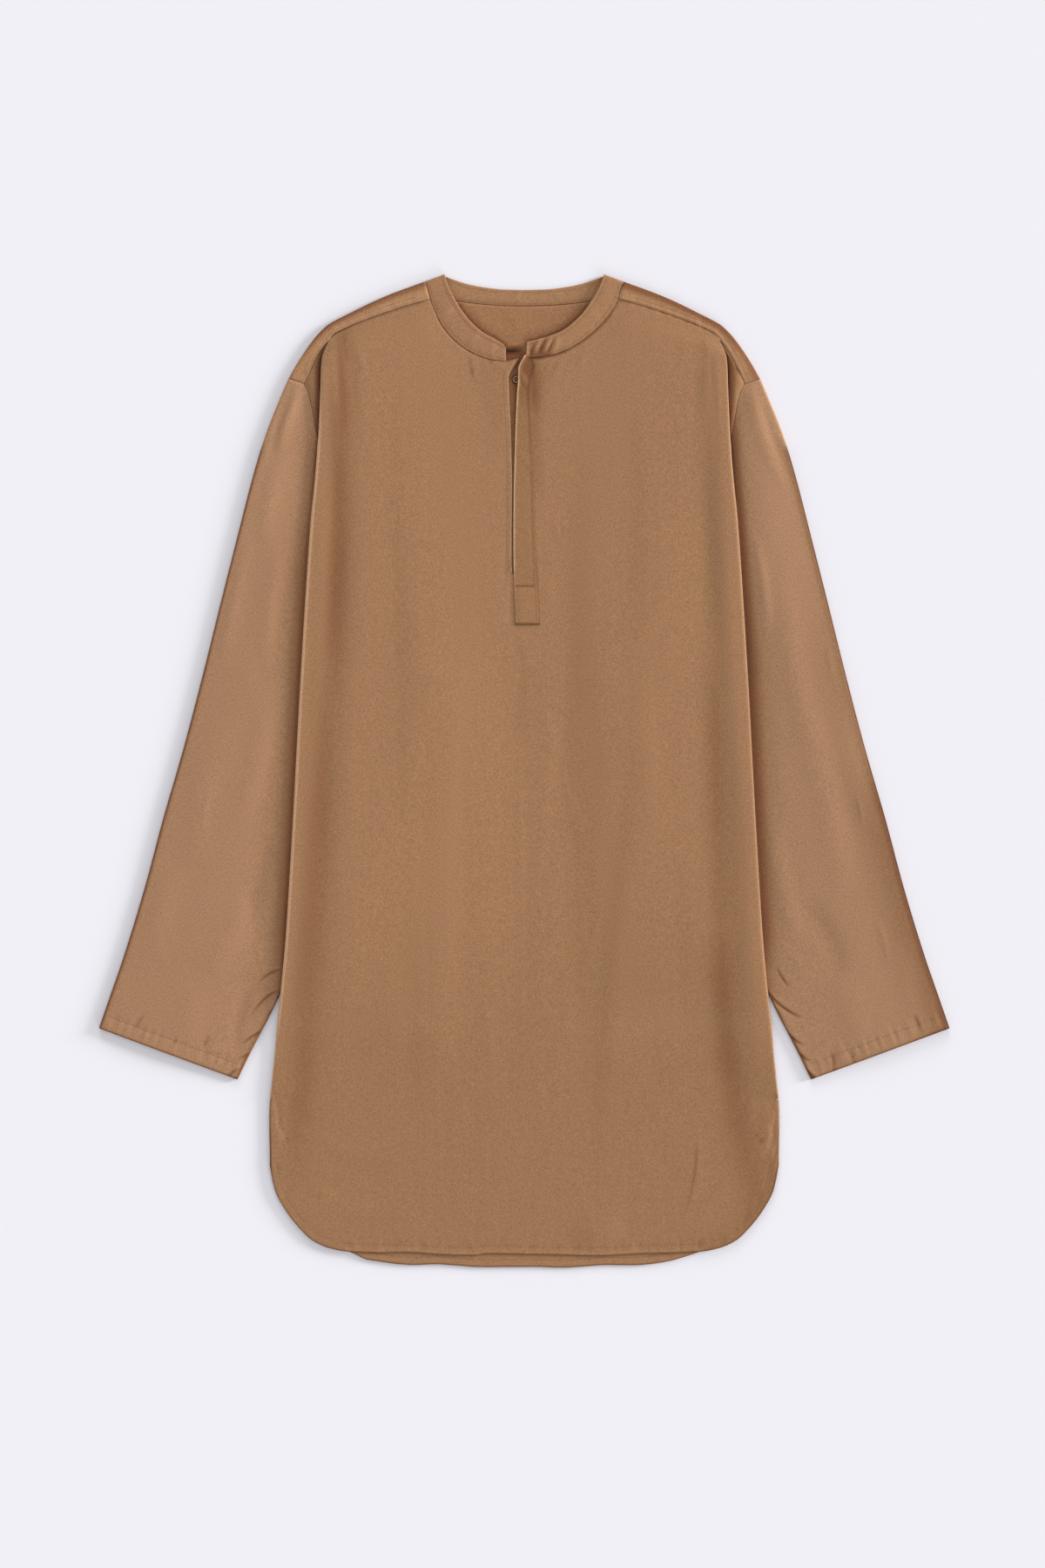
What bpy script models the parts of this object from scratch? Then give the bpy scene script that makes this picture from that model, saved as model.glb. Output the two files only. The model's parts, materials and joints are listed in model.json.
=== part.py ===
# Long shirt with a band collar and a half placket, laid flat on its back.
# Every table and size is in millimetres. X runs to the wearer's left sleeve,
# Y to the neck, Z up, and the underside lies at Z 0.

import math
from collections import namedtuple

import bmesh
import bpy

MM = 0.001

# Cloth and seams
CLOTH = 1.2             # wall of every cloth piece
SEAM = 0.35             # slot between two pieces that are sewn together
FLOOR = CLOTH / 2       # middle of a layer that lies on the surface
PANEL = 3.75            # middle of the front layer at the neck and the yoke
SLEEVE_UNDER = 2.6      # middle of the sleeve's upper layer where the body covers it
TUCK = 4.2              # middle of the front's turned layer over the sleeve
LAP = 2.15              # middle of the turned layer where it laps the back
LAP_WIDTH = 5.0         # how far it laps the back
STUB_LOW = 4.0          # how far the pleat reaches inside the armhole seam at the underarm
STUB_HIGH = 10.5        # and near the yoke
STUB_FROM = 225.0       # it changes between these two places
STUB_TO = 305.0
LOWER_PANEL = 2.7       # middle of the front layer near the hem
OVER_TUCK = 5.9         # middle of the front layer over its turned layer
EDGE_TOP = 7.4          # middle of the front layer at its side folds
CHEST_LOW = 60.0        # the front layer rises from its lower to its upper level
CHEST_HIGH = 170.0      # between these two places
TUCK_INSIDE = 46.0      # it starts to rise over the turned layer this far inside the seam
TUCK_RUN = 28.0         # and is up after this much
EDGE_INSIDE = 26.0      # the same beside the side fold
EDGE_RUN = 24.0
CALM_EDGE = 30.0        # width without ridges along the side folds
CALM_SLIT = 12.0        # and beside the placket
CALM_SLIT_RUN = 26.0
CALM_SLIT_END = 120.0   # the placket's calm ground ends here

DROP_RUN = 25.0         # below the underarm the turned layer comes down to the back in this
DROP_OUTSIDE = 1.5      # it starts down this far outside the sleeve's fold
DROP_INSIDE = 6.0       # and is down this far inside it

# Whole garment
HEM_FRONT = -455.5      # the front's hem at the middle
ARMHOLE_TOP = 364.2     # shoulder end of the armhole seam
YOKE_BACK = ARMHOLE_TOP     # seam of the yoke with the back
UNDERARM = 90.0
VENT = -308.0           # top of the side slits
BESIDE_SLEEVE = 7.0     # from the sleeve's underarm fold to the back's edge
BACK_INSIDE = 5.5       # from the front's side edge to the back's edge
HEM_INSIDE = 2.0        # the same below the slits
JOIN = 300.0            # below this the front's rows run level
SLIT_END = 186.0        # bottom of the placket's slit
SLANT_TOP = 0.32        # slope of the sleeve's sections at the shoulder
SLANT_CUFF = 0.371      # and along the cuff

# Half of the neck, from the front end of the band to the shoulder fold.
# seam is the lower edge of the band, top is its free edge.
Band = namedtuple("Band", "seam_x seam_y top_x top_y")
BAND_LEFT = [
    Band(2.6, 388.2, 2.9, 403.6),
    Band(16.0, 389.0, 14.0, 406.3),
    Band(30.0, 392.2, 25.5, 409.8),
    Band(44.0, 398.2, 36.5, 414.7),
    Band(57.5, 407.0, 46.5, 422.4),
    Band(69.5, 417.4, 55.5, 431.5),
    Band(79.5, 428.6, 63.0, 442.4),
    Band(88.3, 444.1, 69.6, 453.6),
    Band(90.5, 452.5, 72.8, 461.0),
]
BAND_RIGHT = [
    Band(17.2, 385.5, 17.6, 399.8),
    Band(30.0, 386.6, 27.0, 406.0),
    Band(44.0, 391.0, 37.5, 411.6),
    Band(57.5, 398.4, 47.5, 419.6),
    Band(69.5, 409.0, 56.5, 430.0),
    Band(79.5, 422.4, 63.8, 441.2),
    Band(88.3, 444.1, 70.2, 453.4),
    Band(90.5, 452.5, 73.2, 461.0),
]
BAND_FOLD = Band(92.9, 460.8, 75.2, 467.4)
BAND_BACK = [
    Band(80.0, 449.4, 66.0, 462.2),
    Band(64.0, 442.8, 54.0, 458.4),
    Band(44.0, 439.7, 38.0, 455.2),
    Band(22.0, 438.0, 20.0, 453.2),
    Band(0.0, 437.4, 0.0, 452.6),
]
BAND_LIFT = 0.7         # the band's free edge stands this much above its seam

# Half of the yoke, from the neck to the shoulder tip. fold is the shoulder's
# outline, seam is the yoke's front seam.
Shoulder = namedtuple("Shoulder", "fold_x fold_y seam_x seam_y")
SHOULDER = [
    Shoulder(107.5, 455.5, 100.0, 440.9),
    Shoulder(125.0, 449.0, 117.5, 435.8),
    Shoulder(145.0, 440.3, 137.5, 429.0),
    Shoulder(164.5, 430.6, 157.0, 421.8),
    Shoulder(179.5, 423.0, 171.5, 415.4),
    Shoulder(185.5, 419.3, 177.5, 412.4),
    Shoulder(189.5, 415.8, 181.2, 409.2),
    Shoulder(196.0, 408.9, 186.6, 402.4),
    Shoulder(205.0, 397.0, 193.7, 391.6),
    Shoulder(213.5, 384.0, 200.6, 378.4),
    Shoulder(222.0, 369.0, 207.4, ARMHOLE_TOP),
]
CORNER = 6              # the row where the front's side fold starts
YOKE_TAPER = 207.4 / 222.0      # the back seam's width over the shoulders' width

# Side folds of the front near the yoke. Each row runs from the fold's edge to
# the armhole seam. turn is how far the cloth bends under, in degrees, straight
# the flat length between its two bends, rise the height of the edge.
Pleat = namedtuple("Pleat", "y edge arm_y turn straight rise")
PLEAT = [
    Pleat(409.2, 181.2, ARMHOLE_TOP, 0.0, 0.0, PANEL),
    Pleat(404.0, 184.2, 361.5, 40.0, 0.0, 4.3),
    Pleat(397.5, 188.0, 358.5, 80.0, 0.0, 5.4),
    Pleat(389.5, 191.0, 354.5, 120.0, 0.4, 6.4),
    Pleat(378.0, 192.1, 349.5, 155.0, 1.0, 7.0),
    Pleat(362.0, 192.6, 343.0, 180.0, 5.0, EDGE_TOP),
    Pleat(344.0, 193.1, 334.0, 180.0, 9.0, EDGE_TOP),
    Pleat(325.0, 193.8, 320.0, 180.0, 10.5, EDGE_TOP),
]

# The front's side edge below the pleats. tuck is the height of the turned
# layer and rise that of the edge.
Side = namedtuple("Side", "y edge tuck rise")
SIDE = [
    Side(-371.0, 239.4, LAP, LOWER_PANEL),
    Side(-333.0, 240.3, LAP, LOWER_PANEL),
    Side(VENT, 239.3, LAP, 3.4),
    Side(-294.0, 237.8, LAP, PANEL),
    Side(-263.0, 234.7, LAP, 3.9),
    Side(-240.0, 232.8, 3.0, 5.6),
    Side(-214.0, 229.9, TUCK, EDGE_TOP),
    Side(-160.0, 224.8, TUCK, EDGE_TOP),
    Side(-53.0, 218.1, TUCK, EDGE_TOP),
    Side(72.0, 211.4, TUCK, EDGE_TOP),
    Side(152.0, 206.6, TUCK, EDGE_TOP),
    Side(234.0, 201.0, TUCK, EDGE_TOP),
    Side(275.0, 197.0, TUCK, EDGE_TOP),
    Side(JOIN, 195.0, TUCK, EDGE_TOP),
    Side(325.0, 193.8, TUCK, EDGE_TOP),
]

# Armhole seam, the same on the front and the back
Point = namedtuple("Point", "y x")
ARMHOLE = [
    Point(UNDERARM, 120.0),
    Point(110.0, 127.5),
    Point(150.0, 143.5),
    Point(200.0, 160.0),
    Point(250.0, 175.5),
    Point(290.0, 188.0),
    Point(322.0, 196.4),
    Point(342.0, 199.8),
    Point(355.0, 203.0),
    Point(ARMHOLE_TOP, 207.4),
]
# Sleeve outline: the underarm fold from the underarm to the cuff, and the
# outer fold from the shoulder tip to the cuff
SLEEVE_INNER = [
    Point(-290.4, 269.8),
    Point(-268.0, 259.0),
    Point(-250.0, 249.7),
    Point(-232.0, 240.3),
    Point(-209.0, 229.5),
    Point(-130.0, 197.0),
    Point(-50.0, 168.5),
    Point(20.0, 145.0),
    Point(UNDERARM, 120.4),
]
SLEEVE_OUTER = [
    Point(-242.0, 400.4),
    Point(-209.0, 389.0),
    Point(-176.0, 377.6),
    Point(-111.0, 357.7),
    Point(-45.0, 340.0),
    Point(20.0, 321.2),
    Point(86.0, 303.8),
    Point(152.0, 287.4),
    Point(217.0, 271.0),
    Point(283.0, 253.9),
    Point(316.0, 243.6),
    Point(348.0, 231.0),
    Point(369.0, 222.1),
]
SLEEVE_PUFF = 0.9       # extra height of the sleeve's upper layer between its folds
PUFF_WIDTH = 90.0       # a narrower section gets less of it
UPPER_STEPS = 6         # steps across the part of the sleeve that the body doesn't cover

# Hem outlines by distance from the middle
Hem = namedtuple("Hem", "x front back")
HEM = [
    Hem(0.0, HEM_FRONT, -467.4),
    Hem(70.0, -454.8, -466.8),
    Hem(115.0, -453.8, -464.6),
    Hem(140.0, -453.4, -461.6),
    Hem(166.0, -452.2, -450.5),
    Hem(182.0, -449.3, -446.5),
    Hem(198.0, -442.6, -439.0),
    Hem(213.0, -428.6, -424.0),
    Hem(226.0, -411.2, -404.0),
    Hem(235.0, -393.5, -378.0),
    Hem(239.4, -371.0, -352.0),
]

# Placket. The opening's right-hand edge is the wearer's right front; the
# strip is sewn to the wearer's left front and laps over it.
Slit = namedtuple("Slit", "y edge")
SLIT_EDGE = [
    Slit(SLIT_END, -11.3),
    Slit(201.0, -11.5),
    Slit(279.0, -9.9),
    Slit(316.0, -13.7),
    Slit(368.0, -14.0),
    Slit(377.0, -10.4),
    Slit(388.4, -4.1),
]
SLIT_SEWN = 0.5         # the wearer's left front's edge, under the strip
MIDDLE = 7.0            # the columns beside the middle of the front, far below the slit
SPREAD_RUN = 400.0      # they get there this far below it
Strip = namedtuple("Strip", "y free sewn lift")
STRIP = [
    Strip(137.8, -8.4, 14.8, 0.0),
    Strip(155.0, -8.8, 13.6, 0.0),
    Strip(173.8, -9.2, 11.8, 0.1),
    Strip(219.0, -9.9, 10.2, 0.5),
    Strip(279.0, -8.6, 6.6, 1.8),
    Strip(330.0, -6.4, 4.9, 3.6),
    Strip(368.0, -5.0, 4.7, 4.6),
    Strip(379.0, -3.8, 4.3, 3.8),
    Strip(387.3, -1.7, 3.4, 1.8),
]
STRIP_STEPS = [315, 342, 354, 363, 371, 384]
UNDERLAP_LEFT = -20.5
UNDERLAP_RIGHT = 3.4
UNDERLAP_TOP = 394.0
UNDERLAP_END = 178.0
UNDERLAP_LAYER = 2.15
STRIP_LAYER = 1.6       # the strip's height above the front's middle

# Button
BUTTON_X = -7.5
BUTTON_Y = 368.2
BUTTON_RADIUS = 4.3
BUTTON_THICK = 2.0
BUTTON_RIM = 0.9        # width of the raised rim
BUTTON_DISH = 0.5       # depth of the dish inside the rim
THREAD_HOLE = 0.55      # radius of a thread hole
THREAD_SPREAD = 1.25    # from the button's middle to a hole

# Largest soft ridges down the front: where each crosses the chest and the
# hem, the stretch it covers, its height and half its width
Ridge = namedtuple("Ridge", "top_x bottom_x y_top y_bottom height reach")
RIDGES = [
    Ridge(-150.0, -176.0, 360.0, -380.0, 1.3, 24.0),
    Ridge(-92.0, -118.0, 330.0, -330.0, 0.9, 30.0),
    Ridge(-44.0, -30.0, 120.0, -420.0, 1.0, 26.0),
    Ridge(24.0, 28.0, 110.0, -360.0, 1.1, 22.0),
    Ridge(66.0, 96.0, 320.0, -300.0, 1.0, 28.0),
    Ridge(128.0, 150.0, 250.0, -430.0, 1.2, 26.0),
    Ridge(160.0, 196.0, 330.0, -240.0, 0.8, 20.0),
]

# Grid steps
FRONT_Y = [275, 248, 217, SLIT_END, 155, 122, UNDERARM, 85, 58, 18, -28, -74, -120, -158, -190,
           -214, -236, -258, -282, VENT]
HEM_STEPS = [0.2, 0.42, 0.66, 0.86, 1.0]
ARM_Y = [pleat.arm_y for pleat in PLEAT[1:]] + [JOIN] + [y for y in FRONT_Y if y >= UNDERARM]
BACK_Y = ARM_Y[1:] + [58, 20, -50, -130, -190, -214, -240, -276, VENT]
SLEEVE_Y = ARM_Y + [58, 18, -28, -74, -120, -158, -190, -214, -232, -252, -272, -290.4]
OUTER_BEND = 4          # steps round a wide fold
INNER_BEND = 3          # steps round a tight fold


def ease(t):
    """0 to 1 with soft ends."""
    t = min(max(t, 0.0), 1.0)
    return t * t * (3.0 - 2.0 * t)


def mix(a, b, t):
    return a + (b - a) * t


def read(rows, column, at):
    """A column's value at `at` on a smooth curve through rows sorted by their first column."""
    keys = [row[0] for row in rows]
    values = [getattr(row, column) for row in rows]
    if at <= keys[0]:
        return values[0]
    if at >= keys[-1]:
        return values[-1]
    i = max(k for k in range(len(keys) - 1) if keys[k] <= at)
    chords = [(values[k + 1] - values[k]) / (keys[k + 1] - keys[k]) for k in range(len(keys) - 1)]

    def slope(k):
        if k == 0 or k == len(keys) - 1:
            return chords[min(k, len(chords) - 1)]
        before, after = chords[k - 1], chords[k]
        if before * after <= 0.0:
            return 0.0
        return 2.0 * before * after / (before + after)

    span = keys[i + 1] - keys[i]
    t = (at - keys[i]) / span
    return ((2 * t ** 3 - 3 * t ** 2 + 1) * values[i] + (t ** 3 - 2 * t ** 2 + t) * span * slope(i)
            + (3 * t ** 2 - 2 * t ** 3) * values[i + 1] + (t ** 3 - t ** 2) * span * slope(i + 1))


def step_off(x, y, from_x, from_y, distance):
    """The point moved straight away from another one."""
    length = math.hypot(x - from_x, y - from_y)
    return x + (x - from_x) / length * distance, y + (y - from_y) / length * distance


def arm_layer(y):
    """Height of the front and the sleeve along the armhole seam."""
    return mix(SLEEVE_UNDER, PANEL, ease((y - 338.0) / (ARMHOLE_TOP - 338.0)))


def side_seam(y):
    """The back's side edge between the underarm and the slit, beside the sleeve's fold."""
    beside_sleeve = read(SLEEVE_INNER, "x", y) - BESIDE_SLEEVE
    return min(beside_sleeve, read(SIDE, "edge", y) - BACK_INSIDE)


def ridge_height(x, y):
    """Height that the soft ridges add to the front."""
    total = 0.0
    for ridge in RIDGES:
        along = (ridge.y_top - y) / (ridge.y_top - ridge.y_bottom)
        if not 0.0 < along < 1.0:
            continue
        centre = mix(ridge.top_x, ridge.bottom_x, along)
        across = (x - centre) / ridge.reach
        total += ridge.height * math.exp(-across * across) * math.sin(math.pi * along) ** 0.7
    return total


def front_height(x, y, edge, rise):
    """Middle of the front layer at a point, for the side fold's edge and height there."""
    level = mix(LOWER_PANEL, PANEL, ease((y - CHEST_LOW) / (CHEST_HIGH - CHEST_LOW)))
    out = abs(x)
    if y > VENT:
        lifted = min(max((rise - PANEL) / (EDGE_TOP - PANEL), 0.0), 1.0)
        seam = read(ARMHOLE, "x", y) if y > UNDERARM else side_seam(y) - LAP_WIDTH
        level = mix(level, OVER_TUCK, lifted * ease((out - seam + TUCK_INSIDE) / TUCK_RUN))
        level = mix(level, rise, ease((out - edge + EDGE_INSIDE) / EDGE_RUN))
    calm = ease((edge - out) / CALM_EDGE)
    if y > CALM_SLIT_END:
        calm *= ease((out - CALM_SLIT) / CALM_SLIT_RUN)
    return level + calm * ridge_height(x, y)


def new_object(name, mesh, colour, roughness):
    material = bpy.data.materials.new(name)
    material.use_nodes = True
    shader = material.node_tree.nodes["Principled BSDF"]
    shader.inputs["Base Color"].default_value = (*colour, 1.0)
    shader.inputs["Roughness"].default_value = roughness
    shader.inputs["Metallic"].default_value = 0.0
    mesh.materials.append(material)
    piece = bpy.data.objects.new(name, mesh)
    shirt.objects.link(piece)
    return piece


def add_cloth(name, rows, colour, closed_rows=()):
    """A cloth piece from rows of points, where None is a place the piece doesn't reach."""
    bm = bmesh.new()
    grid = [[bm.verts.new([c * MM for c in point]) if point else None for point in row]
            for row in rows]
    for i in range(len(grid) - 1):
        above, below = grid[i], grid[i + 1]
        pairs = [(j, j + 1) for j in range(len(above) - 1)]
        if i in closed_rows:
            pairs.append((len(above) - 1, 0))
        for j, k in pairs:
            corners = (above[j], below[j], below[k], above[k])
            if all(corners):
                bm.faces.new(corners)
    bmesh.ops.delete(bm, geom=[v for v in bm.verts if not v.link_faces], context="VERTS")
    mesh = bpy.data.meshes.new(name)
    bm.to_mesh(mesh)
    bm.free()
    mesh.shade_smooth()
    piece = new_object(name, mesh, colour, 0.85)
    wall = piece.modifiers.new("wall", "SOLIDIFY")
    wall.thickness = CLOTH * MM
    wall.offset = 0.0
    return piece


def neck_edge(stations):
    """The body's side of the collar seam: the band's seam moved out by the slot."""
    return [step_off(s.seam_x, s.seam_y, s.top_x, s.top_y, SEAM) for s in stations]


def front_tops(stations):
    """Where the front's columns of one half meet the neck and the yoke, up to its side fold."""
    tops = neck_edge(stations[1:-1])
    for row in SHOULDER[:CORNER + 1]:
        tops.append(step_off(row.seam_x, row.seam_y, row.fold_x, row.fold_y, SEAM))
    return tops


def along_yoke(fraction):
    """A point on the front's edge under the yoke, from the side fold to the shoulder tip."""
    line = [step_off(row.seam_x, row.seam_y, row.fold_x, row.fold_y, SEAM)
            for row in SHOULDER[CORNER:]]
    place = fraction * (len(line) - 1)
    i = min(int(place), len(line) - 2)
    return (mix(line[i][0], line[i + 1][0], place - i), mix(line[i][1], line[i + 1][1], place - i))


def bend(points, x, z, heading, turn, radius, steps):
    """Adds a bend to a section, turning down by `turn` radians; returns its end."""
    side = 1.0 if turn > 0 else -1.0
    centre_x = x - side * radius * math.sin(heading)
    centre_z = z - side * radius * math.cos(heading)
    for k in range(1, steps + 1):
        angle = heading + turn * k / steps
        points.append((centre_x + side * radius * math.sin(angle),
                       centre_z + side * radius * math.cos(angle)))
    return points[-1]


def pleat_points(start, stop, along, turn, straight, rise, stop_z):
    """Points of a side pleat beyond its edge: under, back out, and on to the armhole seam."""
    turn = math.radians(turn)
    rolls = (rise - stop_z - straight * math.sin(turn)) / (1.0 - math.cos(turn))
    over, under = rolls * 2 / 3, rolls / 3
    section = []
    x, z = bend(section, 0.0, rise, 0.0, turn, over, OUTER_BEND)
    for along_flat in (max(straight / 3, straight - 14.0), max(straight * 2 / 3, straight - 7.0),
                       straight):
        section.append((x + along_flat * math.cos(turn), z - along_flat * math.sin(turn)))
    x, z = bend(section, *section[-1], turn, -turn, under, INNER_BEND)
    reach = (stop[0] - start[0]) * along[0] + (stop[1] - start[1]) * along[1]
    section.append((mix(x, reach, 0.5), mix(z, stop_z, 0.5)))
    section.append((reach, stop_z))
    return [(start[0] + along[0] * x, start[1] + along[1] * x, z) for x, z in section]


def tuck_points(start, y, rise, tuck, ends):
    """Points of a side fold beyond its edge, with the turned layer's places and heights."""
    section = []
    bend(section, start[0], rise, 0.0, math.pi, (rise - tuck) / 2, OUTER_BEND)
    section.extend(ends)
    return [(x, y, z) for x, z in section]


def edge_start(edge, roll, turn=180.0):
    """Where the flat part ends so that the bend reaches the edge."""
    return edge - CLOTH / 2 - roll * math.sin(math.radians(min(turn, 90.0)))


def top_rows_of_half(tops, half):
    """Rows of one half of the front from the yoke down to where the rows run level."""
    rows = []
    first = PLEAT[0].y
    for k, pleat in enumerate(PLEAT):
        fall = (first - pleat.y) / (first - JOIN)
        stop_z = arm_layer(pleat.arm_y)
        rolls = (pleat.rise - stop_z) / 2
        start_x = edge_start(pleat.edge, rolls * 2 / 3, pleat.turn) if k else tops[-1][0]
        row = []
        for top_x, top_y in tops:
            x = top_x / tops[-1][0] * start_x
            y = mix(top_y, JOIN, fall)
            z = front_height(half * x, y, start_x, pleat.rise)
            row.append((x, y, mix(PANEL, z, ease(fall * 6.0))))
        if k:
            row[-1] = (start_x, row[-1][1], pleat.rise)
            stop = (read(ARMHOLE, "x", pleat.arm_y), pleat.arm_y)
            reach = math.hypot(stop[0] - start_x, stop[1] - row[-1][1])
            along = ((stop[0] - start_x) / reach, (stop[1] - row[-1][1]) / reach)
            row.extend(pleat_points(row[-1], stop, along, pleat.turn, pleat.straight, pleat.rise,
                                    stop_z))
        else:
            steps = OUTER_BEND + 3 + INNER_BEND + 2
            for j in range(1, steps + 1):
                row.append((*along_yoke(j / steps), PANEL))
        rows.append(row)
    return rows


def level_row_of_half(tops, half, y):
    """One level row of one half of the front, with its side fold above the slit."""
    edge, tuck, rise = (read(SIDE, column, y) for column in ("edge", "tuck", "rise"))
    roll = (rise - tuck) / 2
    start_x = edge_start(edge, roll)
    row = []
    for top_x, top_y in tops:
        x = top_x / tops[-1][0] * start_x
        row.append((x, y, front_height(half * x, y, start_x, rise)))
    pleat_steps = INNER_BEND + 2
    if y >= UNDERARM:
        stop_x = read(ARMHOLE, "x", y)
        stub = mix(STUB_LOW, STUB_HIGH, ease((y - STUB_FROM) / (STUB_TO - STUB_FROM)))
        straight = start_x - (stop_x - stub)
        row.extend(pleat_points(row[-1], (stop_x, y), (1.0, 0.0), 180.0, straight, rise,
                                SLEEVE_UNDER))
    else:
        lap = side_seam(y) - LAP_WIDTH
        fold = read(SLEEVE_INNER, "x", y)
        drop = mix(TUCK, LAP, ease((UNDERARM - y) / DROP_RUN))
        if fold + DROP_OUTSIDE < start_x - 2.0:
            ends = [(fold + DROP_OUTSIDE, TUCK), (fold - DROP_INSIDE, drop), (lap, drop)]
        else:
            ends = [(mix(start_x, lap, k / 3), tuck) for k in (1, 2, 3)]
        row.extend(tuck_points(row[-1], y, rise, tuck, ends))
        row.extend([None] * pleat_steps)
    return row


def hem_rows_of_half(tops, half):
    """Rows of one half of the front below the side slits, down to the rounded hem."""
    rows = []
    for fall in HEM_STEPS:
        row = []
        for top_x, top_y in tops:
            share = top_x / tops[-1][0]
            hem_x = share * HEM[-1].x
            hem_y = read(HEM, "front", hem_x)
            y = mix(VENT, hem_y, fall)
            x = share * mix(read(SIDE, "edge", y), HEM[-1].x, fall)
            row.append((x, y, front_height(half * x, y, HEM[-1].x + 30.0, LOWER_PANEL)))
        row.extend([None] * (OUTER_BEND + 3 + INNER_BEND + 2))
        rows.append(row)
    return rows


def front_half(stations, half):
    tops = front_tops(stations)
    rows = top_rows_of_half(tops, half)
    rows.append(level_row_of_half(tops, half, JOIN))
    rows.extend(level_row_of_half(tops, half, y) for y in FRONT_Y)
    return rows + hem_rows_of_half(tops, half)


def make_front():
    """The front in one piece: the two sides of the slit meet below its end."""
    left_half = front_half(BAND_LEFT, 1.0)
    right_half = front_half([BAND_RIGHT[0], *BAND_RIGHT], -1.0)
    rows = []
    for left, right in zip(left_half, right_half):
        y = left[0][1]
        spread = ease((SLIT_END - y) / SPREAD_RUN)
        free = (mix(read(SLIT_EDGE, "edge", y), -MIDDLE, spread), mix(right[0][1], y, 0.5),
                right[0][2])
        sewn = (mix(SLIT_SEWN, MIDDLE, spread), y, left[0][2])
        if not rows:
            free = (SLIT_EDGE[-1].edge, SLIT_EDGE[-1].y, PANEL)
            sewn = (SLIT_SEWN, BAND_LEFT[0].seam_y - SEAM, PANEL)
        middle = tuple(mix(a, b, 0.5) for a, b in zip(free, sewn)) if y <= SLIT_END else None
        mirrored = [(-p[0], p[1], p[2]) if p else None for p in reversed(right)]
        rows.append(mirrored + [free, middle, sewn] + left)
    add_cloth("front", rows, (0.352, 0.184, 0.095))


def make_back():
    """The back, flat on the surface, from the yoke's seam to its longer hem."""
    side = [(read(ARMHOLE, "x", YOKE_BACK - SEAM), YOKE_BACK - SEAM)]
    for y in BACK_Y:
        side.append((read(ARMHOLE, "x", y) if y >= UNDERARM else side_seam(y), y))
    side += [(row.x - HEM_INSIDE, row.back) for row in reversed(HEM)]
    outline = side + [(-x, y) for x, y in reversed(side[:-1])]
    curve = bpy.data.curves.new("back", "CURVE")
    curve.dimensions = "2D"
    curve.fill_mode = "BOTH"
    curve.extrude = CLOTH / 2 * MM
    spline = curve.splines.new("POLY")
    spline.points.add(len(outline) - 1)
    for point, (x, y) in zip(spline.points, outline):
        point.co = (x * MM, y * MM, 0.0, 1.0)
    spline.use_cyclic_u = True
    back = new_object("back", curve, (0.310, 0.158, 0.080), 0.85)
    back.location.z = FLOOR * MM


def shoulder_column(fold, seam, foot):
    """One column of the yoke: up the back, over the shoulder, down to the front seam."""
    axis = step_off(*fold, *seam, -CLOTH / 2 - (PANEL - FLOOR) / 2)
    roll = (PANEL - FLOOR) / 2
    out = ((fold[0] - axis[0]) / (roll + CLOTH / 2), (fold[1] - axis[1]) / (roll + CLOTH / 2))
    points = [(mix(foot[0], axis[0], t), mix(foot[1], axis[1], t), FLOOR) for t in (0.0, 0.4, 0.8)]
    for k in range(OUTER_BEND + 1):
        angle = math.pi * (k / OUTER_BEND - 0.5)
        away = roll * math.cos(angle)
        points.append((axis[0] + out[0] * away, axis[1] + out[1] * away,
                       FLOOR + roll + roll * math.sin(angle)))
    for t in (0.5, 1.0):
        points.append((mix(axis[0], seam[0], t), mix(axis[1], seam[1], t), PANEL))
    return points


def make_yoke():
    """The yoke: one cloth from the back seam over both shoulders to the front seams."""
    half = []
    for x, y in reversed(neck_edge(BAND_BACK[:-1])):
        foot = (x * YOKE_TAPER, YOKE_BACK)
        column = [(mix(foot[0], x, t), mix(foot[1], y, t), FLOOR) for t in (0.0, 0.4, 0.8, 1.0)]
        half.append(column + [None] * (OUTER_BEND + 2))
    fold = step_off(BAND_FOLD.seam_x, BAND_FOLD.seam_y, BAND_FOLD.top_x, BAND_FOLD.top_y, SEAM)
    seam = neck_edge([BAND_LEFT[-2]])[0]
    half.append(shoulder_column(fold, seam, (fold[0] * YOKE_TAPER, YOKE_BACK)))
    for row in SHOULDER:
        foot = (row.fold_x * YOKE_TAPER, YOKE_BACK)
        half.append(shoulder_column((row.fold_x, row.fold_y), (row.seam_x, row.seam_y), foot))
    x, y = neck_edge(BAND_BACK[-1:])[0]
    middle = [(0.0, mix(YOKE_BACK, y, t), FLOOR) for t in (0.0, 0.4, 0.8, 1.0)]
    other = [[(-p[0], p[1], p[2]) if p else None for p in column] for column in reversed(half)]
    add_cloth("yoke", other + [middle + [None] * (OUTER_BEND + 2)] + half, (0.340, 0.178, 0.092))


def band_strip(seam, top, lift):
    """Points across the band from its seam to its free edge."""
    height = (seam[2], mix(seam[2], top[2], 0.5), top[2])
    return [(mix(seam[0], top[0], t), mix(seam[1], top[1], t), height[k] + lift * t)
            for k, t in enumerate((0.0, 0.5, 1.0))]


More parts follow.
